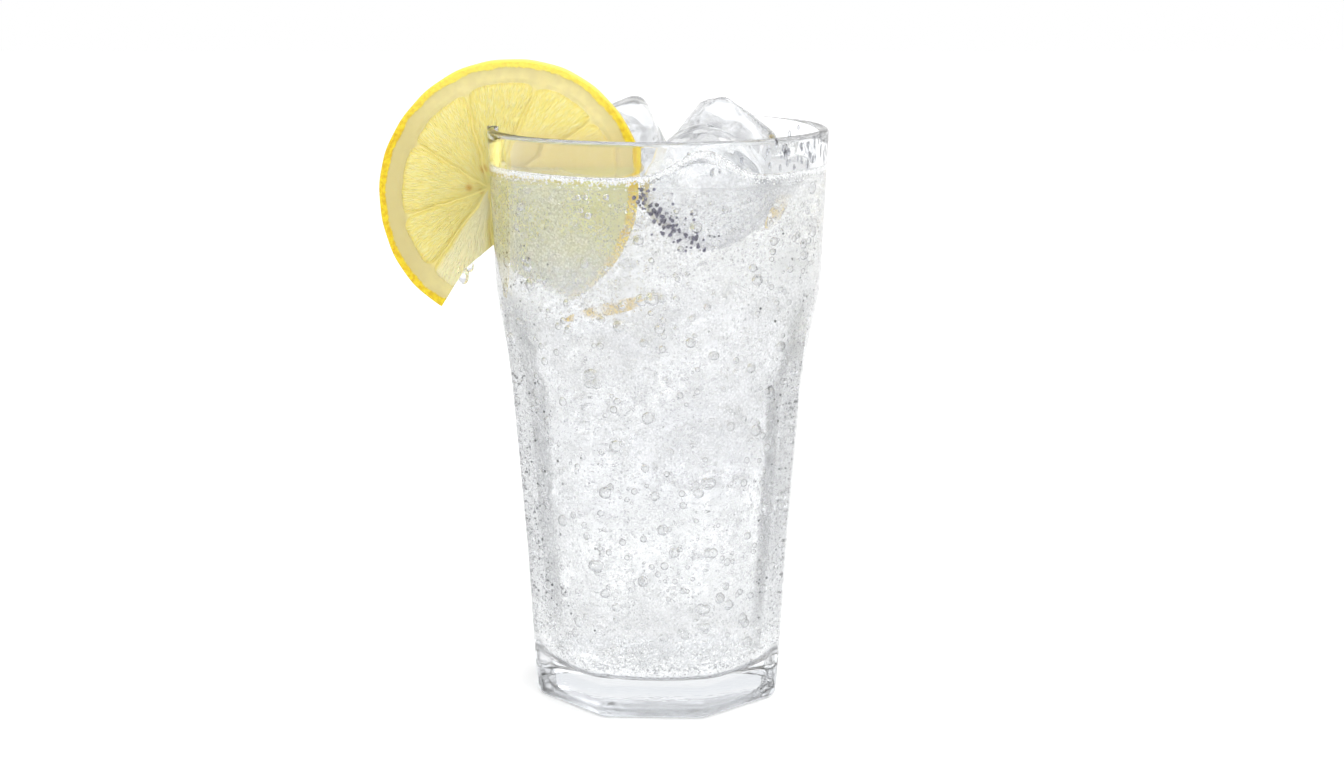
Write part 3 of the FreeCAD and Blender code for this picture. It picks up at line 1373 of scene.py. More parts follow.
    def build_fizz(self, finish: Material) -> Piece:
        """Scatter the fine fizz on the wall.

        Args:
            finish: the fizz's material.

        Returns:
            The fizz.
        """
        sizes = self.radii(self.fizz_sizes, self.fizz_count)
        places = self.on_wall(sizes, self.tumbler.base_thickness + 4 * MM)
        return self.scatter("fine_fizz", places, sizes, finish)

    def build_foam(self, finish: Material) -> Piece:
        """Heap foam round the foot of the drink.

        Args:
            finish: the foam's material.

        Returns:
            The foam.
        """
        count = self.foam_count
        sizes = self.radii(self.foam_sizes, count)
        floor, bend = self.tumbler.base_thickness, self.tumbler.floor_round
        up = floor + 0.6 * MM + self.random.exponential(2.6, count) * MM
        up = np.minimum(up, floor + self.foam_height)
        sink = np.maximum(bend - (up - floor), 0)
        curve = bend - np.sqrt(np.maximum(bend**2 - sink**2, 0))
        inward = self.random.exponential(0.7, count) * MM
        reach = self.tumbler.bore_radius(np.maximum(up, floor)) - curve - sizes - inward
        places = self.around(reach, self.directions(count), up)
        piece = Swarm("foot_foam", 1).build(places, sizes)
        Bench.dress(piece, finish, Slot.DRINK)
        return piece

    def build_edge_foam(self, finish: Material) -> Piece:
        """Line the drink's edge with fine foam where it climbs the glass.

        Args:
            finish: the foam's material.

        Returns:
            The line of foam.
        """
        count = self.edge_count
        sizes = self.radii(self.edge_sizes, count)
        round_the = self.directions(count)
        inward = self.random.exponential(0.35, count) * MM
        reach = self.tumbler.bore_radius(self.drink.level) - sizes - inward
        places = self.around(reach, round_the, reach)
        places[:, 2] = self.drink.surface(places)
        places[:, 2] -= 0.3 * MM + self.random.exponential(0.45, count) * MM
        return self.scatter("edge_foam", places, sizes, finish)

    def build_drops(self, finish: Material) -> Piece:
        """Leave drops and short runs on the dry glass above the drink.

        Args:
            finish: the drops' material.

        Returns:
            The drops.
        """
        count = self.drop_count
        wide = self.radii(self.drop_sizes, count)
        tall = wide * self.random.uniform(1.0, 3.2, count)
        round_the = self.random.normal(math.radians(-18), math.radians(26), count)
        lowest, highest = self.drink.level + 2.2 * MM, self.tumbler.height - 1.6 * MM
        up = self.random.uniform(lowest, highest, count)
        reach = self.tumbler.bore_radius(up) - 0.1 * wide
        places = self.around(reach, round_the, up)
        piece = Swarm("drops_on_glass", 2).build(places, np.column_stack([wide, wide, tall]))
        Bench.dress(piece, finish, Slot.DRINK)
        return piece

    def build_side_gas(self, finish: Material) -> Piece:
        """Gather gas on the two sides of the wall.

        Args:
            finish: the gas's material.

        Returns:
            The gathered gas.
        """
        count = self.side_count
        sizes = self.radii(self.side_sizes, count)
        up = self.random.uniform(22 * MM, self.drink.level - 12 * MM, count)
        side = self.random.integers(0, 2, count) * math.pi
        round_the = side + self.random.normal(0.0, math.radians(20), count)
        reach = self.tumbler.bore_radius(up) - sizes - self.against_wall
        places = self.around(reach, round_the, up)
        return self.scatter("side_gas", places, sizes, finish)

    def build_ice_fizz(self, block: Piece, finish: Material) -> Piece:
        """Cluster gas on the wall where the front block of ice nearly touches it.

        Args:
            block: the front block.
            finish: the gas's material.

        Returns:
            The clustered gas.
        """
        rows = Bench.places(block)
        low = (rows[:, 2] < self.drink.level - 4 * MM) & (rows[:, 1] < rows[:, 1].mean())
        rows = rows[low]
        middle = rows.mean(axis=0)
        leaning = -(rows[:, 0] - middle[0]) * 1.1 - (rows[:, 2] - middle[2])
        chance = np.clip(leaning / leaning.max(), 0, 1) ** 2
        count = self.ice_fizz_count
        picked = self.random.choice(len(rows), count, False, chance / chance.sum())
        sizes = self.radii(self.ice_fizz_sizes, count)
        places = rows[picked] + self.random.normal(0.0, self.spread, (count, 3))
        reach = self.tumbler.bore_radius(places[:, 2]) - sizes - self.against_wall
        wall = -np.sqrt(np.maximum(reach**2 - places[:, 0] ** 2, 0))
        places[:, 2] += (places[:, 1] - wall) * self.sight_slope
        places[:, 1] = wall
        piece = Swarm("gas_by_front_ice", 1).build(places, sizes)
        Bench.dress(piece, finish, Slot.DRINK)
        return piece


# ---------------------------------------------------------------- lemon


@dataclass
class LemonSlice:
    """The slice on the rim: pulp in uneven segments, pith, and a pebbly peel."""

    tumbler: Tumbler
    half_long: float = 34.1 * MM
    half_short: float = 33.1 * MM
    lean: float = math.radians(52.0)
    ring: float = 5.5 * MM
    peel: float = 2.1 * MM
    core_aside: float = -5.4 * MM
    core_up: float = 1.3 * MM
    membranes: tuple[float, ...] = (-8, 33, 64, 103, 148, 198, 233, 272, 312)
    notch_left: float = math.radians(238.0)
    notch_right: float = math.radians(317.0)
    notch_elbow: float = 22.5 * MM
    notch_drop: float = 11.8 * MM
    slit_gap: float = 0.12 * MM
    tears: int = 14
    tear_depth: float = 0.16
    groove: float = 0.30 * MM
    groove_width: float = 0.5 * MM
    crown: float = 0.35 * MM
    sac_relief: float = 0.05 * MM
    set_back: float = 0.4 * MM
    uneven_waves: tuple[tuple[float, ...], ...] = ((0.004, 3, 1), (0.003, 7, 0), (0.0015, 23, 0))
    steps: int = 300
    rings: int = 84

    def __post_init__(self) -> None:
        """Place the slice from its construction node's box."""
        low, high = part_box("lemon_slice")
        self.front, self.back = low[1], high[1]
        self.middle_x = (low[0] + high[0]) / 2
        sine, cosine = math.sin(self.lean), math.cos(self.lean)
        half_height = math.hypot(self.half_long * sine, self.half_short * cosine)
        self.middle_z = high[2] - half_height
        self.core_x = self.middle_x + self.core_aside
        self.core_z = self.middle_z + self.core_up

    def edge_distance(self, x: np.ndarray, z: np.ndarray) -> np.ndarray:
        """How far inside the peel's outline a place lies.

        Args:
            x: places across.
            z: places up.

        Returns:
            The distance, 0 at the outline.
        """
        aside, up = x - self.middle_x, z - self.middle_z
        cosine, sine = math.cos(self.lean), math.sin(self.lean)
        long = (aside * cosine + up * sine) / self.half_long
        short = (up * cosine - aside * sine) / self.half_short
        return (1 - np.hypot(long, short)) * self.half_short

    def segment_depth(self, x: np.ndarray, z: np.ndarray) -> np.ndarray:
        """How deep inside a segment of pulp a place lies.

        Args:
            x: places across.
            z: places up.

        Returns:
            The distance from the nearest membrane or pith, below 0 in the pith.
        """
        aside, up = x - self.core_x, z - self.core_z
        nearest = np.full(len(x), 1.0)
        for angle in self.membranes:
            cosine, sine = math.cos(math.radians(angle)), math.sin(math.radians(angle))
            along = aside * cosine + up * sine
            across = aside * sine - up * cosine
            nearest = np.minimum(nearest, np.hypot(across, np.minimum(along, 0)))
        inner = self.edge_distance(x, z) - self.ring
        soft = 4.0 * MM
        share = np.clip(0.5 + 0.5 * (inner - nearest) / soft, 0, 1)
        return inner * (1 - share) + nearest * share - soft * share * (1 - share)

    def outline(self) -> list[Span]:
        """Half of the disc's section: front face, rounded peel and back face.

        Returns:
            Pairs of radius and depth, at the shorter radius.
        """
        bend = 0.6 * MM
        flat = np.linspace(0, self.half_short - bend, self.rings)
        turn = np.linspace(0, math.pi / 2, 5)[1:-1]
        rim = [
            (self.half_short - bend + bend * math.sin(angle), bend * (1 - math.cos(angle)))
            for angle in turn
        ]
        thick = self.back - self.front
        side = [(self.half_short, depth) for depth in np.linspace(bend, thick - bend, 9)]
        front = [(radius, 0.0) for radius in flat] + rim
        back = [(radius, thick - depth) for radius, depth in reversed(front)]
        return [(float(radius), float(self.front + depth)) for radius, depth in front + side + back]

    def relief(self, x: np.ndarray, z: np.ndarray) -> np.ndarray:
        """How far the cut face stands back: deepest along the membranes, proud in the pulp.

        Args:
            x: places across.
            z: places up.

        Returns:
            The depth behind the flat face.
        """
        depth = self.segment_depth(x, z)
        groove = self.groove * np.exp(-((depth / self.groove_width) ** 2))
        crown = self.crown * (1 - np.exp(-np.maximum(depth, 0) / (2.0 * MM)))
        aside, up = x - self.core_x, z - self.core_z
        angle, radius = np.arctan2(up, aside), np.hypot(aside, up)
        sacs = np.sin(angle * 41 + 3 * np.sin(angle * 7)) * np.sin(radius / (2.2 * MM) + 5 * angle)
        pulp = np.clip(depth / (1.5 * MM), 0, 1)
        return self.set_back + groove - crown - self.sac_relief * sacs * pulp

    def prism(self, name: str, outline: list[Span]) -> Piece:
        """Extrude an upright outline through the slice's thickness and past it.

        Args:
            name: the new object's name.
            outline: its corners as pairs of x and z.

        Returns:
            The closed prism.
        """
        past = 5 * MM
        places = [Vector((x, self.front - past, z)) for x, z in outline]
        piece = Bench.drawn(name, places)
        bpy.ops.mesh.edge_face_add()
        deep = (0, self.back - self.front + 2 * past, 0)
        bpy.ops.mesh.extrude_region_move(TRANSFORM_OT_translate={"value": deep})
        bpy.ops.mesh.select_all(action="SELECT")
        bpy.ops.mesh.normals_make_consistent(inside=False)
        bpy.ops.object.mode_set(mode="OBJECT")
        return piece

    def notch_outline(self) -> list[Span]:
        """The missing wedge's outline, a little torn along its sides.

        Returns:
            Its corners as pairs of x and z.
        """
        glass = self.tumbler
        corner_z = self.middle_z - self.notch_drop
        corner_x = -(float(glass.round_radius(corner_z)) - glass.wall / 2)

        def round_slice(reach: float, angle: float) -> Span:
            """A place at a reach and direction from the slice's middle."""
            return (
                self.middle_x + reach * math.cos(angle),
                self.middle_z + reach * math.sin(angle),
            )

        past = self.half_long * 1.5
        stops = [
            (corner_x, corner_z),
            round_slice(self.notch_elbow, self.notch_left),
            round_slice(past, self.notch_left),
            round_slice(past, (self.notch_left + self.notch_right) / 2),
            round_slice(past, self.notch_right),
        ]
        random = np.random.default_rng(5)
        torn = []
        for start, end in zip(stops, stops[1:] + stops[:1]):
            for number in range(self.tears):
                share = number / self.tears
                rough = 0.0 if number == 0 else random.normal(0, self.tear_depth) * MM
                torn.append((
                    start[0] + (end[0] - start[0]) * share + rough,
                    start[1] + (end[1] - start[1]) * share + rough,
                ))
        return torn

    def build(self, finish: Material) -> Piece:
        """Turn the slice, raise its pulp, take out the wedge and slit it for the wall.

        Args:
            finish: the lemon's material.

        Returns:
            The slice.
        """
        piece = Bench.turned("lemon_slice_cut", self.outline(), self.steps, axis="Y")
        rows = Bench.places(piece)
        radius = np.hypot(rows[:, 0], rows[:, 2])
        angle = np.arctan2(rows[:, 2], rows[:, 0])
        turned = angle - self.lean
        oval = 1 / np.hypot(np.cos(turned) / self.half_long, np.sin(turned) / self.half_short)
        uneven = np.ones_like(angle)
        for share, waves, phase in self.uneven_waves:
            uneven += share * np.sin(waves * angle + phase)
        radius *= oval / self.half_short * uneven
        rows[:, 0] = self.middle_x + radius * np.cos(angle)
        rows[:, 2] = self.middle_z + radius * np.sin(angle)
        depth = self.relief(rows[:, 0], rows[:, 2])
        hold = np.clip(self.edge_distance(rows[:, 0], rows[:, 2]) / (2 * MM), 0, 1)
        at_front = rows[:, 1] < self.front + 0.01 * MM
        at_back = rows[:, 1] > self.back - 0.01 * MM
        rows[:, 1] += np.where(at_front, depth * hold, 0) - np.where(at_back, depth * hold, 0)
        Bench.set_places(piece, rows)
        Bench.cut(piece, self.prism("notch", self.notch_outline()))
        Bench.cut(piece, self.slit())
        Bench.smooth(piece, CUT_SMOOTH_BELOW)
        Bench.dress(piece, finish, Slot.LEMON, "lemon_slice")
        return piece

    def build_drop(self, finish: Material) -> Piece:
        """Hang a drop of juice from the missing wedge's edge.

        Args:
            finish: the drop's material.

        Returns:
            The drop.
        """
        piece = Swarm("juice_drop", 4).build(JUICE_PLACES * MM, JUICE_SIZES * MM)
        Bench.apply(piece, "REMESH", mode="VOXEL", voxel_size=0.2 * MM)
        Bench.apply(piece, "SMOOTH", factor=0.7, iterations=8)
        Bench.smooth(piece)
        Bench.dress(piece, finish, Slot.LEMON)
        return piece

    def slit(self) -> Piece:
        """The wall's own form with a hair's gap either side.

        Returns:
            The shape that the slice leaves free for the wall.
        """
        glass = self.tumbler
        heights = (glass.band_foot + 6 * MM, glass.height + self.slit_gap)
        outer = [float(glass.round_radius(up)) + self.slit_gap for up in heights]
        inner = [float(glass.round_radius(up)) - glass.wall - self.slit_gap for up in heights]
        outline = [
            (inner[0], heights[0]),
            (outer[0], heights[0]),
            (outer[1], heights[1]),
            (inner[1], heights[1]),
            (inner[0], heights[0]),
        ]
        return Bench.turned("slit", outline, 128)


@dataclass(frozen=True)
class LemonFinish:
    """Wet pulp in juice sacs, dry pith and bright peel, with painted highlights, shade and haze."""

    cut: LemonSlice
    pulp_pale: Colour = rgb(240, 231, 162)
    pulp_deep: Colour = rgb(233, 217, 118)
    # Painted shade: a darker yellow for the grooves along the membranes.
    groove_shade: Colour = rgb(224, 203, 92)
    # Painted highlight: near-white for the juice sacs' gleams.
    gleam: Colour = rgb(252, 249, 222)
    cut_pale: Colour = rgb(240, 236, 200)
    membrane: Colour = rgb(240, 226, 140)
    skin: Colour = rgb(234, 222, 156)
    pith: Colour = rgb(224, 211, 150)
    # Pith colour that is duller towards the peel, and painted shade on the slice's left side.
    pith_dull_and_shade: Colour = rgb(204, 190, 128)
    peel_bright: Colour = rgb(237, 212, 32)
    peel_deep: Colour = rgb(222, 186, 14)
    # Painted light: the peel's colour towards its top.
    peel_lit: Colour = rgb(254, 244, 120)
    # Partly juice, partly painted shade: the pulp behind the glass, above the drink.
    wet_shaded_pulp: Colour = rgb(214, 195, 130)
    # Painted haze of light: the pulp paler and greener where it lies in the cloudy drink.
    sunk_hazed_pulp: Colour = rgb(215, 215, 147)
    # Painted haze of light: a grey-white laid over the slice's low part in the drink.
    veiled: Colour = rgb(226, 227, 222)
    seed_marks: tuple[tuple[float, float, float], ...] = (
        (-1.3 * MM, 5.0 * MM, 1.1 * MM),
        (-5.1 * MM, 0.2 * MM, 0.9 * MM),
        (-2.0 * MM, -0.8 * MM, 0.5 * MM),
    )
    seed_mark: Colour = rgb(205, 150, 50)
    masks: tuple[str, ...] = ("Edge", "Depth", "Sac", "Shade", "Core", "Turn")
    sac_length: float = 8.0 * MM
    sacs_round: float = 13.0

    def group(self) -> bpy.types.NodeTree:
        """Build the map of a cut lemon: where peel, pulp and each juice sac lie.

        Returns:
            A group that reads a place and gives the masks.
        """
        cut = self.cut
        group, nodes, entry, leave = new_group("citrus_cut", {"Vector": "Vector"}, self.masks)
        noise = nodes.add("TexNoise", entry.outputs["Vector"], None, 170.0, 2.0)
        centred = nodes.vector("SUBTRACT", noise.outputs["Color"], (0.5, 0.5, 0.5))
        moved = nodes.vector("SCALE", centred.outputs[0])
        moved.inputs["Scale"].default_value = 1.6 * MM
        warped = nodes.vector("ADD", entry.outputs["Vector"], moved.outputs[0])
        from_middle = nodes.vector("SUBTRACT", warped.outputs[0], (cut.middle_x, 0, cut.middle_z))
        from_core = nodes.vector("SUBTRACT", warped.outputs[0], (cut.core_x, 0, cut.core_z))
        cosine, sine = math.cos(cut.lean), math.sin(cut.lean)
        long = nodes.vector("DOT_PRODUCT", from_middle.outputs[0], (cosine, 0, sine))
        short = nodes.vector("DOT_PRODUCT", from_middle.outputs[0], (-sine, 0, cosine))
        oval = nodes.add(
            "CombineXYZ",
            nodes.math("DIVIDE", long.outputs["Value"], cut.half_long),
            nodes.math("DIVIDE", short.outputs["Value"], cut.half_short),
        )
        share = nodes.vector("LENGTH", oval.outputs[0]).outputs["Value"]
        edge = nodes.times(nodes.math("SUBTRACT", 1.0, share), cut.half_short)
        nearest: object = 1.0
        for angle in cut.membranes:
            along_way = (math.cos(math.radians(angle)), 0, math.sin(math.radians(angle)))
            across_way = (math.sin(math.radians(angle)), 0, -math.cos(math.radians(angle)))
            along = nodes.vector("DOT_PRODUCT", from_core.outputs[0], along_way)
            across = nodes.vector("DOT_PRODUCT", from_core.outputs[0], across_way)
            behind = nodes.math("MINIMUM", along.outputs["Value"], 0.0)
            gap = nodes.add("CombineXYZ", across.outputs["Value"], behind)
            away = nodes.vector("LENGTH", gap.outputs[0])
            nearest = nodes.math("MINIMUM", away.outputs["Value"], nearest)
        inner = nodes.math("SUBTRACT", edge, cut.ring)
        depth = nodes.math("SMOOTH_MIN", nearest, inner, 4.0 * MM)
        parts = nodes.add("SeparateXYZ", from_core.outputs[0])
        turn = nodes.math("ARCTAN2", parts.outputs["Z"], parts.outputs["X"])
        flat = nodes.add("CombineXYZ", parts.outputs["X"], parts.outputs["Z"])
        radius = nodes.vector("LENGTH", flat.outputs[0])
        grid = nodes.add(
            "CombineXYZ",
            nodes.times(turn, self.sacs_round),
            nodes.math("DIVIDE", radius.outputs["Value"], self.sac_length),
            nodes.math("DIVIDE", parts.outputs["Y"], self.sac_length),
        )
        cells = nodes.add("TexVoronoi", grid.outputs[0], feature="SMOOTH_F1")
        cells.inputs["Smoothness"].default_value = 0.35
        tone = nodes.add("SeparateColor", cells.outputs["Color"]).outputs[0]
        found = (edge, depth, cells.outputs["Distance"], tone, radius.outputs["Value"], turn)
        for label, source in zip(self.masks, found):
            nodes.feed(leave.inputs[label], source)
        return group

    def build(self) -> Material:
        """Build the material.

        Returns:
            The lemon's material.
        """
        material, nodes, shader = new_material(
            "lemon_flesh_and_peel",
            Subsurface_Weight=0.35,
            Subsurface_Radius=(1.0, 0.75, 0.3),
            Subsurface_Scale=2.0 * MM,
        )
        place = nodes.place()
        parts = nodes.add("SeparateXYZ", place)
        aside, up = parts.outputs["X"], parts.outputs["Z"]
        cut = nodes.add("Group", place, node_tree=self.group())
        edge, depth, sac, shade, core, turn = (cut.outputs[name] for name in self.masks)
        pulp = nodes.step(depth, 0.05 * MM, 0.4 * MM)
        peel_edge = nodes.add("TexNoise", place, None, 1400.0, 2.0).outputs[0]
        ragged = nodes.math("ADD", edge, nodes.times(peel_edge, 0.7 * MM))
        peel = nodes.step(ragged, self.cut.peel + 0.25 * MM, self.cut.peel - 0.25 * MM)
        hollow = nodes.step(sac, 0.2, 0.65)
        tone = nodes.math("ADD", nodes.times(hollow, 0.45), nodes.times(shade, 0.55))
        flesh = nodes.blend(tone, self.pulp_pale, self.pulp_deep)
        # Painted shade: the flesh darkens along the membranes' grooves, away from the core.
        by_membrane = nodes.step(depth, 1.3 * MM, 0.3 * MM)
        groove_shade = nodes.times(by_membrane, nodes.step(core, 4.0 * MM, 11.0 * MM), 0.45)
        flesh = nodes.blend(groove_shade, flesh, self.groove_shade)
        # Painted highlights: near-white spots in the middles of the brighter juice sacs.
        gleam = nodes.times(nodes.step(sac, 0.16, 0.05), nodes.step(shade, 0.45, 0.8), 0.7)
        flesh = nodes.blend(gleam, flesh, self.gleam)
        sliver = nodes.times(nodes.step(turn, -2.19, -2.12), nodes.step(turn, -1.5, -1.75), 0.65)
        flesh = nodes.blend(sliver, flesh, self.cut_pale)
        # Inside the glass the pulp is smoother from its juice, and its colour is painted: shade above
        # the drink, a pale haze of light in it.
        behind_glass = nodes.step(aside, -40.0 * MM, -36.0 * MM)
        wet_and_shaded = nodes.times(behind_glass, nodes.step(up, 148.0 * MM, 141.0 * MM))
        mottle = nodes.add("TexNoise", place, None, 420.0, 3.0)
        pith = nodes.blend(nodes.step(mottle.outputs[0], 0.3, 0.75), self.pith, self.skin)
        # The pith is duller towards the peel, and painted shade darkens it on the slice's left side.
        dull_and_shade = nodes.times(nodes.step(edge, self.cut.ring * 0.85, self.cut.ring * 0.3), 0.5)
        left_shade = nodes.times(nodes.step(aside, -50.0 * MM, -66.0 * MM), 0.8)
        dull_and_shade = nodes.math("MAXIMUM", dull_and_shade, left_shade)
        pith = nodes.blend(dull_and_shade, pith, self.pith_dull_and_shade)
        between = nodes.step(edge, self.cut.ring * 1.05, self.cut.ring * 1.4)
        wall = nodes.blend(between, pith, self.membrane)
        for mark_x, mark_z, reach in self.seed_marks:
            middle = (self.cut.core_x + mark_x, self.cut.front, self.cut.core_z + mark_z)
            away = nodes.vector("DISTANCE", place, middle).outputs["Value"]
            ragged_mark = nodes.math("ADD", away, nodes.times(mottle.outputs[0], 1.2 * MM))
            mark = nodes.step(ragged_mark, reach + 1.2 * MM, reach * 0.6)
            flesh = nodes.blend(nodes.times(mark, 0.85), flesh, self.seed_mark)
        inside = nodes.blend(pulp, wall, flesh)
        below = nodes.step(up, 136.0 * MM, 132.0 * MM)
        glass_shade_and_haze = nodes.blend(below, self.wet_shaded_pulp, self.sunk_hazed_pulp)
        inside = nodes.blend(nodes.times(wet_and_shaded, 0.8), inside, glass_shade_and_haze)
        patch = nodes.add("TexNoise", place, None, 900.0, 3.0)
        rind = nodes.blend(nodes.step(patch.outputs[0], 0.38, 0.66), self.peel_bright, self.peel_deep)
        # Painted light: the peel is lighter towards the top.
        lit = nodes.times(nodes.step(up, 142.0 * MM, 163.0 * MM), 0.65)
        rind = nodes.blend(lit, rind, self.peel_lit)
        surface = nodes.blend(peel, inside, rind)
        # Painted haze of light: the slice fades to grey-white low down in the drink.
        in_drink = nodes.step(aside, -41.0 * MM, -38.0 * MM)
        low = nodes.times(in_drink, nodes.step(up, 119.0 * MM, 105.0 * MM), 0.9)
        surface = nodes.blend(low, surface, self.veiled)
        nodes.feed(shader.inputs["Base Color"], surface)
        pores = nodes.add("TexVoronoi", place, None, 1100.0, feature="SMOOTH_F1")
        fibre = nodes.times(mottle.outputs[0], 0.25)
        pebbles = nodes.times(pores.outputs["Distance"], peel, 0.9)
        plump = nodes.add("MapRange", core, 2.0 * MM, 14.0 * MM, 0.5, 1.3).outputs[0]
        dry = nodes.math("SUBTRACT", 1.0, wet_and_shaded)
        sacs = nodes.times(nodes.math("SUBTRACT", 1.0, sac), pulp, plump, dry)
        height = nodes.math("ADD", nodes.math("ADD", fibre, pebbles), sacs)
        nodes.bump(shader, height, 0.35 * MM, Strength=0.8)
        rough = nodes.math("SUBTRACT", 0.6, nodes.times(pulp, 0.38))
        nodes.feed(shader.inputs["Roughness"], rough)
        return material


# ---------------------------------------------------------------- studio


@dataclass
class Studio:
    """The plain floor, the soft light and the camera."""

    floor_size: float = 6.0
    camera_distance: float = 0.5555
    camera_height: float = 0.195
    camera_aside: float = 0.0035
    camera_tilt: float = math.radians(11.72)
    focal_length: float = 58.92857142857143
    sensor: float = 36.0
    floor_lift: float = 0.22
    inside_lift: float = 2.3
    room_light: float = 1.1
    inside_light: float = 0.15
    dark_above: float = 0.3
    dark_beside: float = 0.4
    aim_height: float = 0.08

    def build(self) -> None:
        """Set up floor, light and camera."""
        self.build_floor()
        self.build_world()
        self.build_softbox("key_softbox", (0.25, -0.5, 0.8), 0.7, 2.5)
        self.build_softbox("back_softbox", (0.45, 0.65, 0.7), 0.6, 1.5)
        self.build_camera()
        scene = bpy.context.scene
        scene.view_settings.view_transform = "Standard"
        scene.cycles.max_bounces = 40
        scene.cycles.transmission_bounces = 36
        scene.cycles.transparent_max_bounces = 24
        scene.cycles.glossy_bounces = 8
        scene.cycles.diffuse_bounces = 5

    @staticmethod
    def rays(nodes: Nodes) -> list[Socket]:
        """Tell apart the rays that meet a surface.

        Args:
            nodes: the node tree to build in.

        Returns:
            Sockets that are 1 for the camera's rays, scattered rays and rays through glass.
        """
        ray = nodes.add("LightPath")
        depths = (ray.outputs["Diffuse Depth"], ray.outputs["Transmission Depth"])
        past = [nodes.math("GREATER_THAN", depth, 0.5) for depth in depths]
        return [ray.outputs["Is Camera Ray"], *past]

    def build_floor(self) -> None:
        """Lay the pale floor."""
        Bench.clear()
        bpy.ops.mesh.primitive_plane_add(size=self.floor_size, location=(0, 0, -0.02 * MM))
        floor = Bench.named("floor")
        material, nodes, shader = new_material(
            "floor_white",
            Base_Color=(0.85, 0.85, 0.85, 1),
            Emission_Color=(1, 1, 1, 1),
            Roughness=1.0,
            Specular_IOR_Level=0.0,
        )
        camera, scattered, through = self.rays(nodes)
        seen = nodes.times(nodes.math("MAXIMUM", camera, through), self.floor_lift)
        inside = nodes.times(scattered, through, self.inside_lift)
        nodes.feed(shader.inputs["Emission Strength"], nodes.math("ADD", seen, inside))
        floor.data.materials.append(material)

    def build_world(self) -> None:
        """A white surround that is a little darker overhead and at the sides."""
        world = bpy.data.worlds.new("studio")
        bpy.context.scene.world = world
        world.use_nodes = True
        nodes = Nodes(world.node_tree)
        base = world.node_tree.nodes["Background"]
        direction = nodes.add("TexCoord").outputs["Generated"]
        parts = nodes.add("SeparateXYZ", direction)
        overhead = nodes.step(parts.outputs["Z"], 0.45, 0.95)
        beside = nodes.step(nodes.math("ABSOLUTE", parts.outputs["X"]), 0.75, 0.98)
        above = nodes.times(overhead, self.dark_above)
        dark = nodes.math("MAXIMUM", above, nodes.times(beside, self.dark_beside))
        bright = nodes.math("SUBTRACT", 1.0, dark)
        camera, scattered, through = self.rays(nodes)
        inside = nodes.times(through, self.inside_light)
        lit = nodes.add("Mix", scattered, data_type="FLOAT")
        nodes.feed(lit.inputs["A"], bright)
        nodes.feed(lit.inputs["B"], nodes.math("ADD", inside, self.room_light))
        level = nodes.add("Mix", camera, data_type="FLOAT")
        nodes.feed(level.inputs["A"], lit.outputs["Result"])
        level.inputs["B"].default_value = 1.0
        nodes.feed(base.inputs["Strength"], level.outputs["Result"])
        base.inputs["Color"].default_value = (1, 1, 1, 1)

    def build_softbox(
        self, name: str, place: tuple[float, float, float], size: float, power: float
    ) -> None:
        """Hang a large soft light aimed at the glass.

        Args:
            name: the light's name.
            place: where it hangs.
            size: its width.
            power: its power in watts.
        """
        light = bpy.data.lights.new(name, "AREA")
        light.size = size
        light.energy = power
        lamp = bpy.data.objects.new(name, light)
        bpy.context.scene.collection.objects.link(lamp)
        aim = Vector((0, 0, self.aim_height)) - Vector(place)
        turn = aim.to_track_quat("-Z", "Y").to_matrix().to_4x4()
        lamp.matrix_world = Matrix.Translation(place) @ turn

    def build_camera(self) -> None:
        """Place the camera a little above the glass, looking down at it."""
        data = bpy.data.cameras.new("camera")
        data.sensor_width = self.sensor
        data.lens = self.focal_length
        camera = bpy.data.objects.new("camera", data)
        bpy.context.scene.collection.objects.link(camera)
        camera.location = (self.camera_aside, -self.camera_distance, self.camera_height)
        camera.rotation_euler = (math.pi / 2 - self.camera_tilt, 0, 0)
        bpy.context.scene.camera = camera


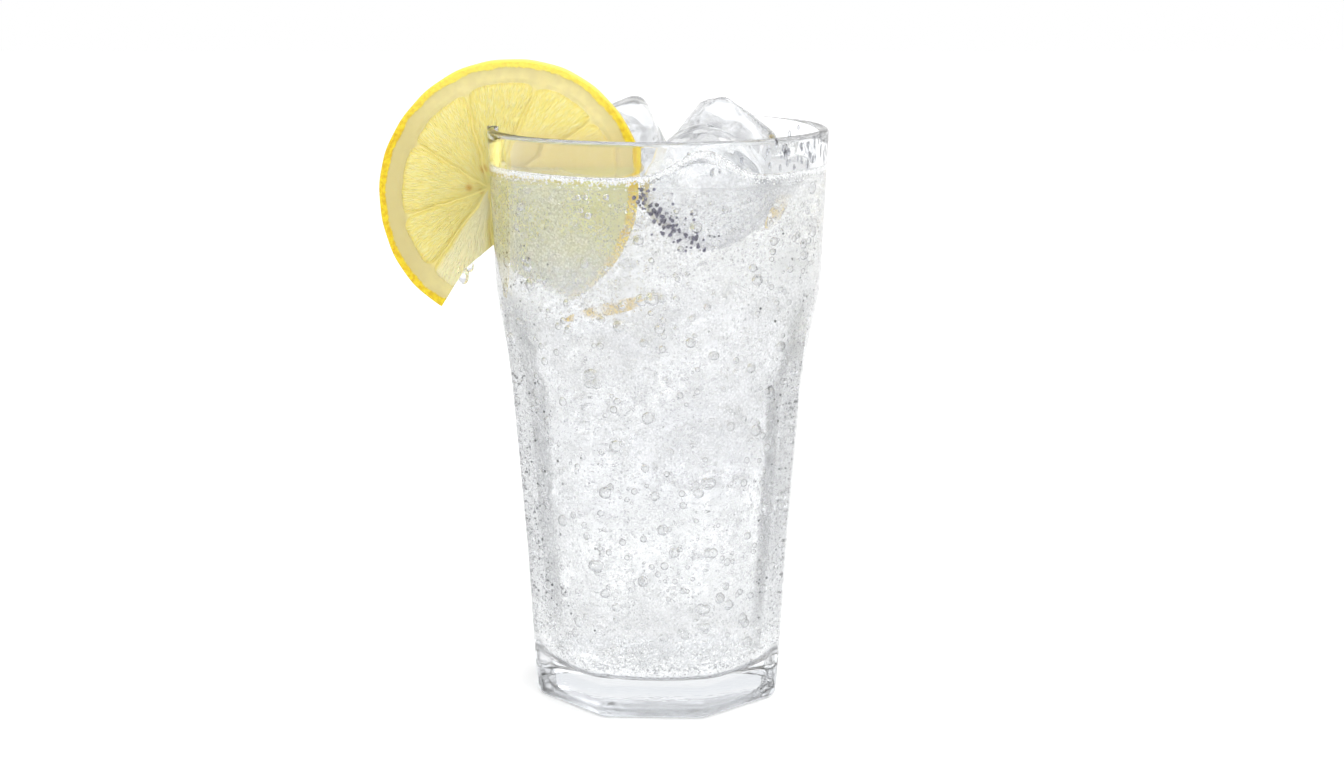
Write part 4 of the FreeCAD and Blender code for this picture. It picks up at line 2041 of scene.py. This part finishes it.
def main() -> None:
    """Build the glass, what is in it and the studio round it."""
    logging.basicConfig(level=logging.INFO, format="%(name)s %(message)s")
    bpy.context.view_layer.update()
    ripple = ripple_group()
    glass = ClearFinish(
        "tumbler_glass", 1.5, rgb(251, 252, 253), relief=0.02, foot_relief=0.12
    ).build(ripple)
    lemonade = FizzyFinish().build()
    # Painted shade: the gas by the front ice is tinted dark purple-grey, the gas at the sides dark
    # grey.
    dark_gas = ClearFinish("gas_on_ice", 1.4, rgb(118, 113, 148), 0.1, passes=0.6).build(ripple)
    grey_gas = ClearFinish("side_gas", 1.4, rgb(92, 95, 102), 0.1, passes=0.5).build(ripple)
    lemon_shine = CloudFinish("lemon_shine", rgb(246, 216, 120), 0.75, 380.0).build()
    water = ClearFinish("water_drop", 1.333, rgb(226, 227, 231)).build(ripple)
    bubble_wall = ClearFinish("bubble_wall", 1.333, rgb(254, 254, 254)).build(ripple)
    ice = ClearFinish("ice", 1.31, rgb(240, 241, 243), 0.03, relief=0.3).build(ripple)
    worn_ice = ClearFinish(
        "worn_ice", 1.31, rgb(229, 230, 232), 0.04, grain=330.0, grain_share=0.45, relief=0.5
    ).build(ripple)
    sunk = ClearFinish("sunk_ice", 1.02, rgb(253, 253, 254), 0.05, relief=0.4).build(ripple)
    gas = ClearFinish("fine_gas", 1.25, rgb(255, 255, 255), passes=0.6).build(ripple)
    # Painted light: the clouds in the sunk ice and the front ice glow a little.
    cloud = CloudFinish(glow=0.08).build()
    front_cloud = CloudFinish("front_ice_cloud", density=0.95, glow=0.22).build()
    # Painted shade: a dark grey cloud inside the left and right blocks of ice.
    shaded_cloud = CloudFinish("shaded_ice_cloud", (0.3, 0.3, 0.31, 1.0), 0.4).build()
    # Painted light: the foam glows a little.
    foam = ClearFinish("foam", 1.2, rgb(255, 255, 255), 0.1, passes=0.3, glow=0.14).build(ripple)
    tumbler = Tumbler()
    tumbler.build(glass)
    drink = Drink(tumbler)
    rooms: list[Piece] = []
    blocks: list[Piece] = []
    for number, node in enumerate(("ice_front", "ice_left", "ice_right")):
        front = node == "ice_front"
        roundness = 0.75 if front else 0.15
        block = IceBlock(f"{node}_block", 20 + number, node=node, roundness=roundness)
        blocks.append(block.build(ice if front else worn_ice, front_cloud if front else shaded_cloud))
        rooms.append(block.room(blocks[-1]))
    for number, (middle, turns) in enumerate(SUNK_ICE):
        block = IceBlock(f"sunk_ice_{number + 1}", 40 + number, middle=middle, turns=turns)
        block.build(sunk, cloud)
    bubbles = Bubbles(tumbler, drink)
    drink.build(lemonade, rooms, bubbles.build_voids(bubble_wall))
    bubbles.build_veil(VeilFinish().build())
    bubbles.build_fizz(gas)
    bubbles.build_foam(foam)
    bubbles.build_edge_foam(foam)
    bubbles.build_drops(water)
    bubbles.build_ice_fizz(blocks[0], dark_gas)
    bubbles.build_side_gas(grey_gas)
    for shine in SHINES:
        shine.build(lemon_shine)
    lemon = LemonSlice(tumbler)
    lemon.build(LemonFinish(lemon).build())
    lemon.build_drop(water)
    Studio().build()


if __name__ == "__main__":
    main()
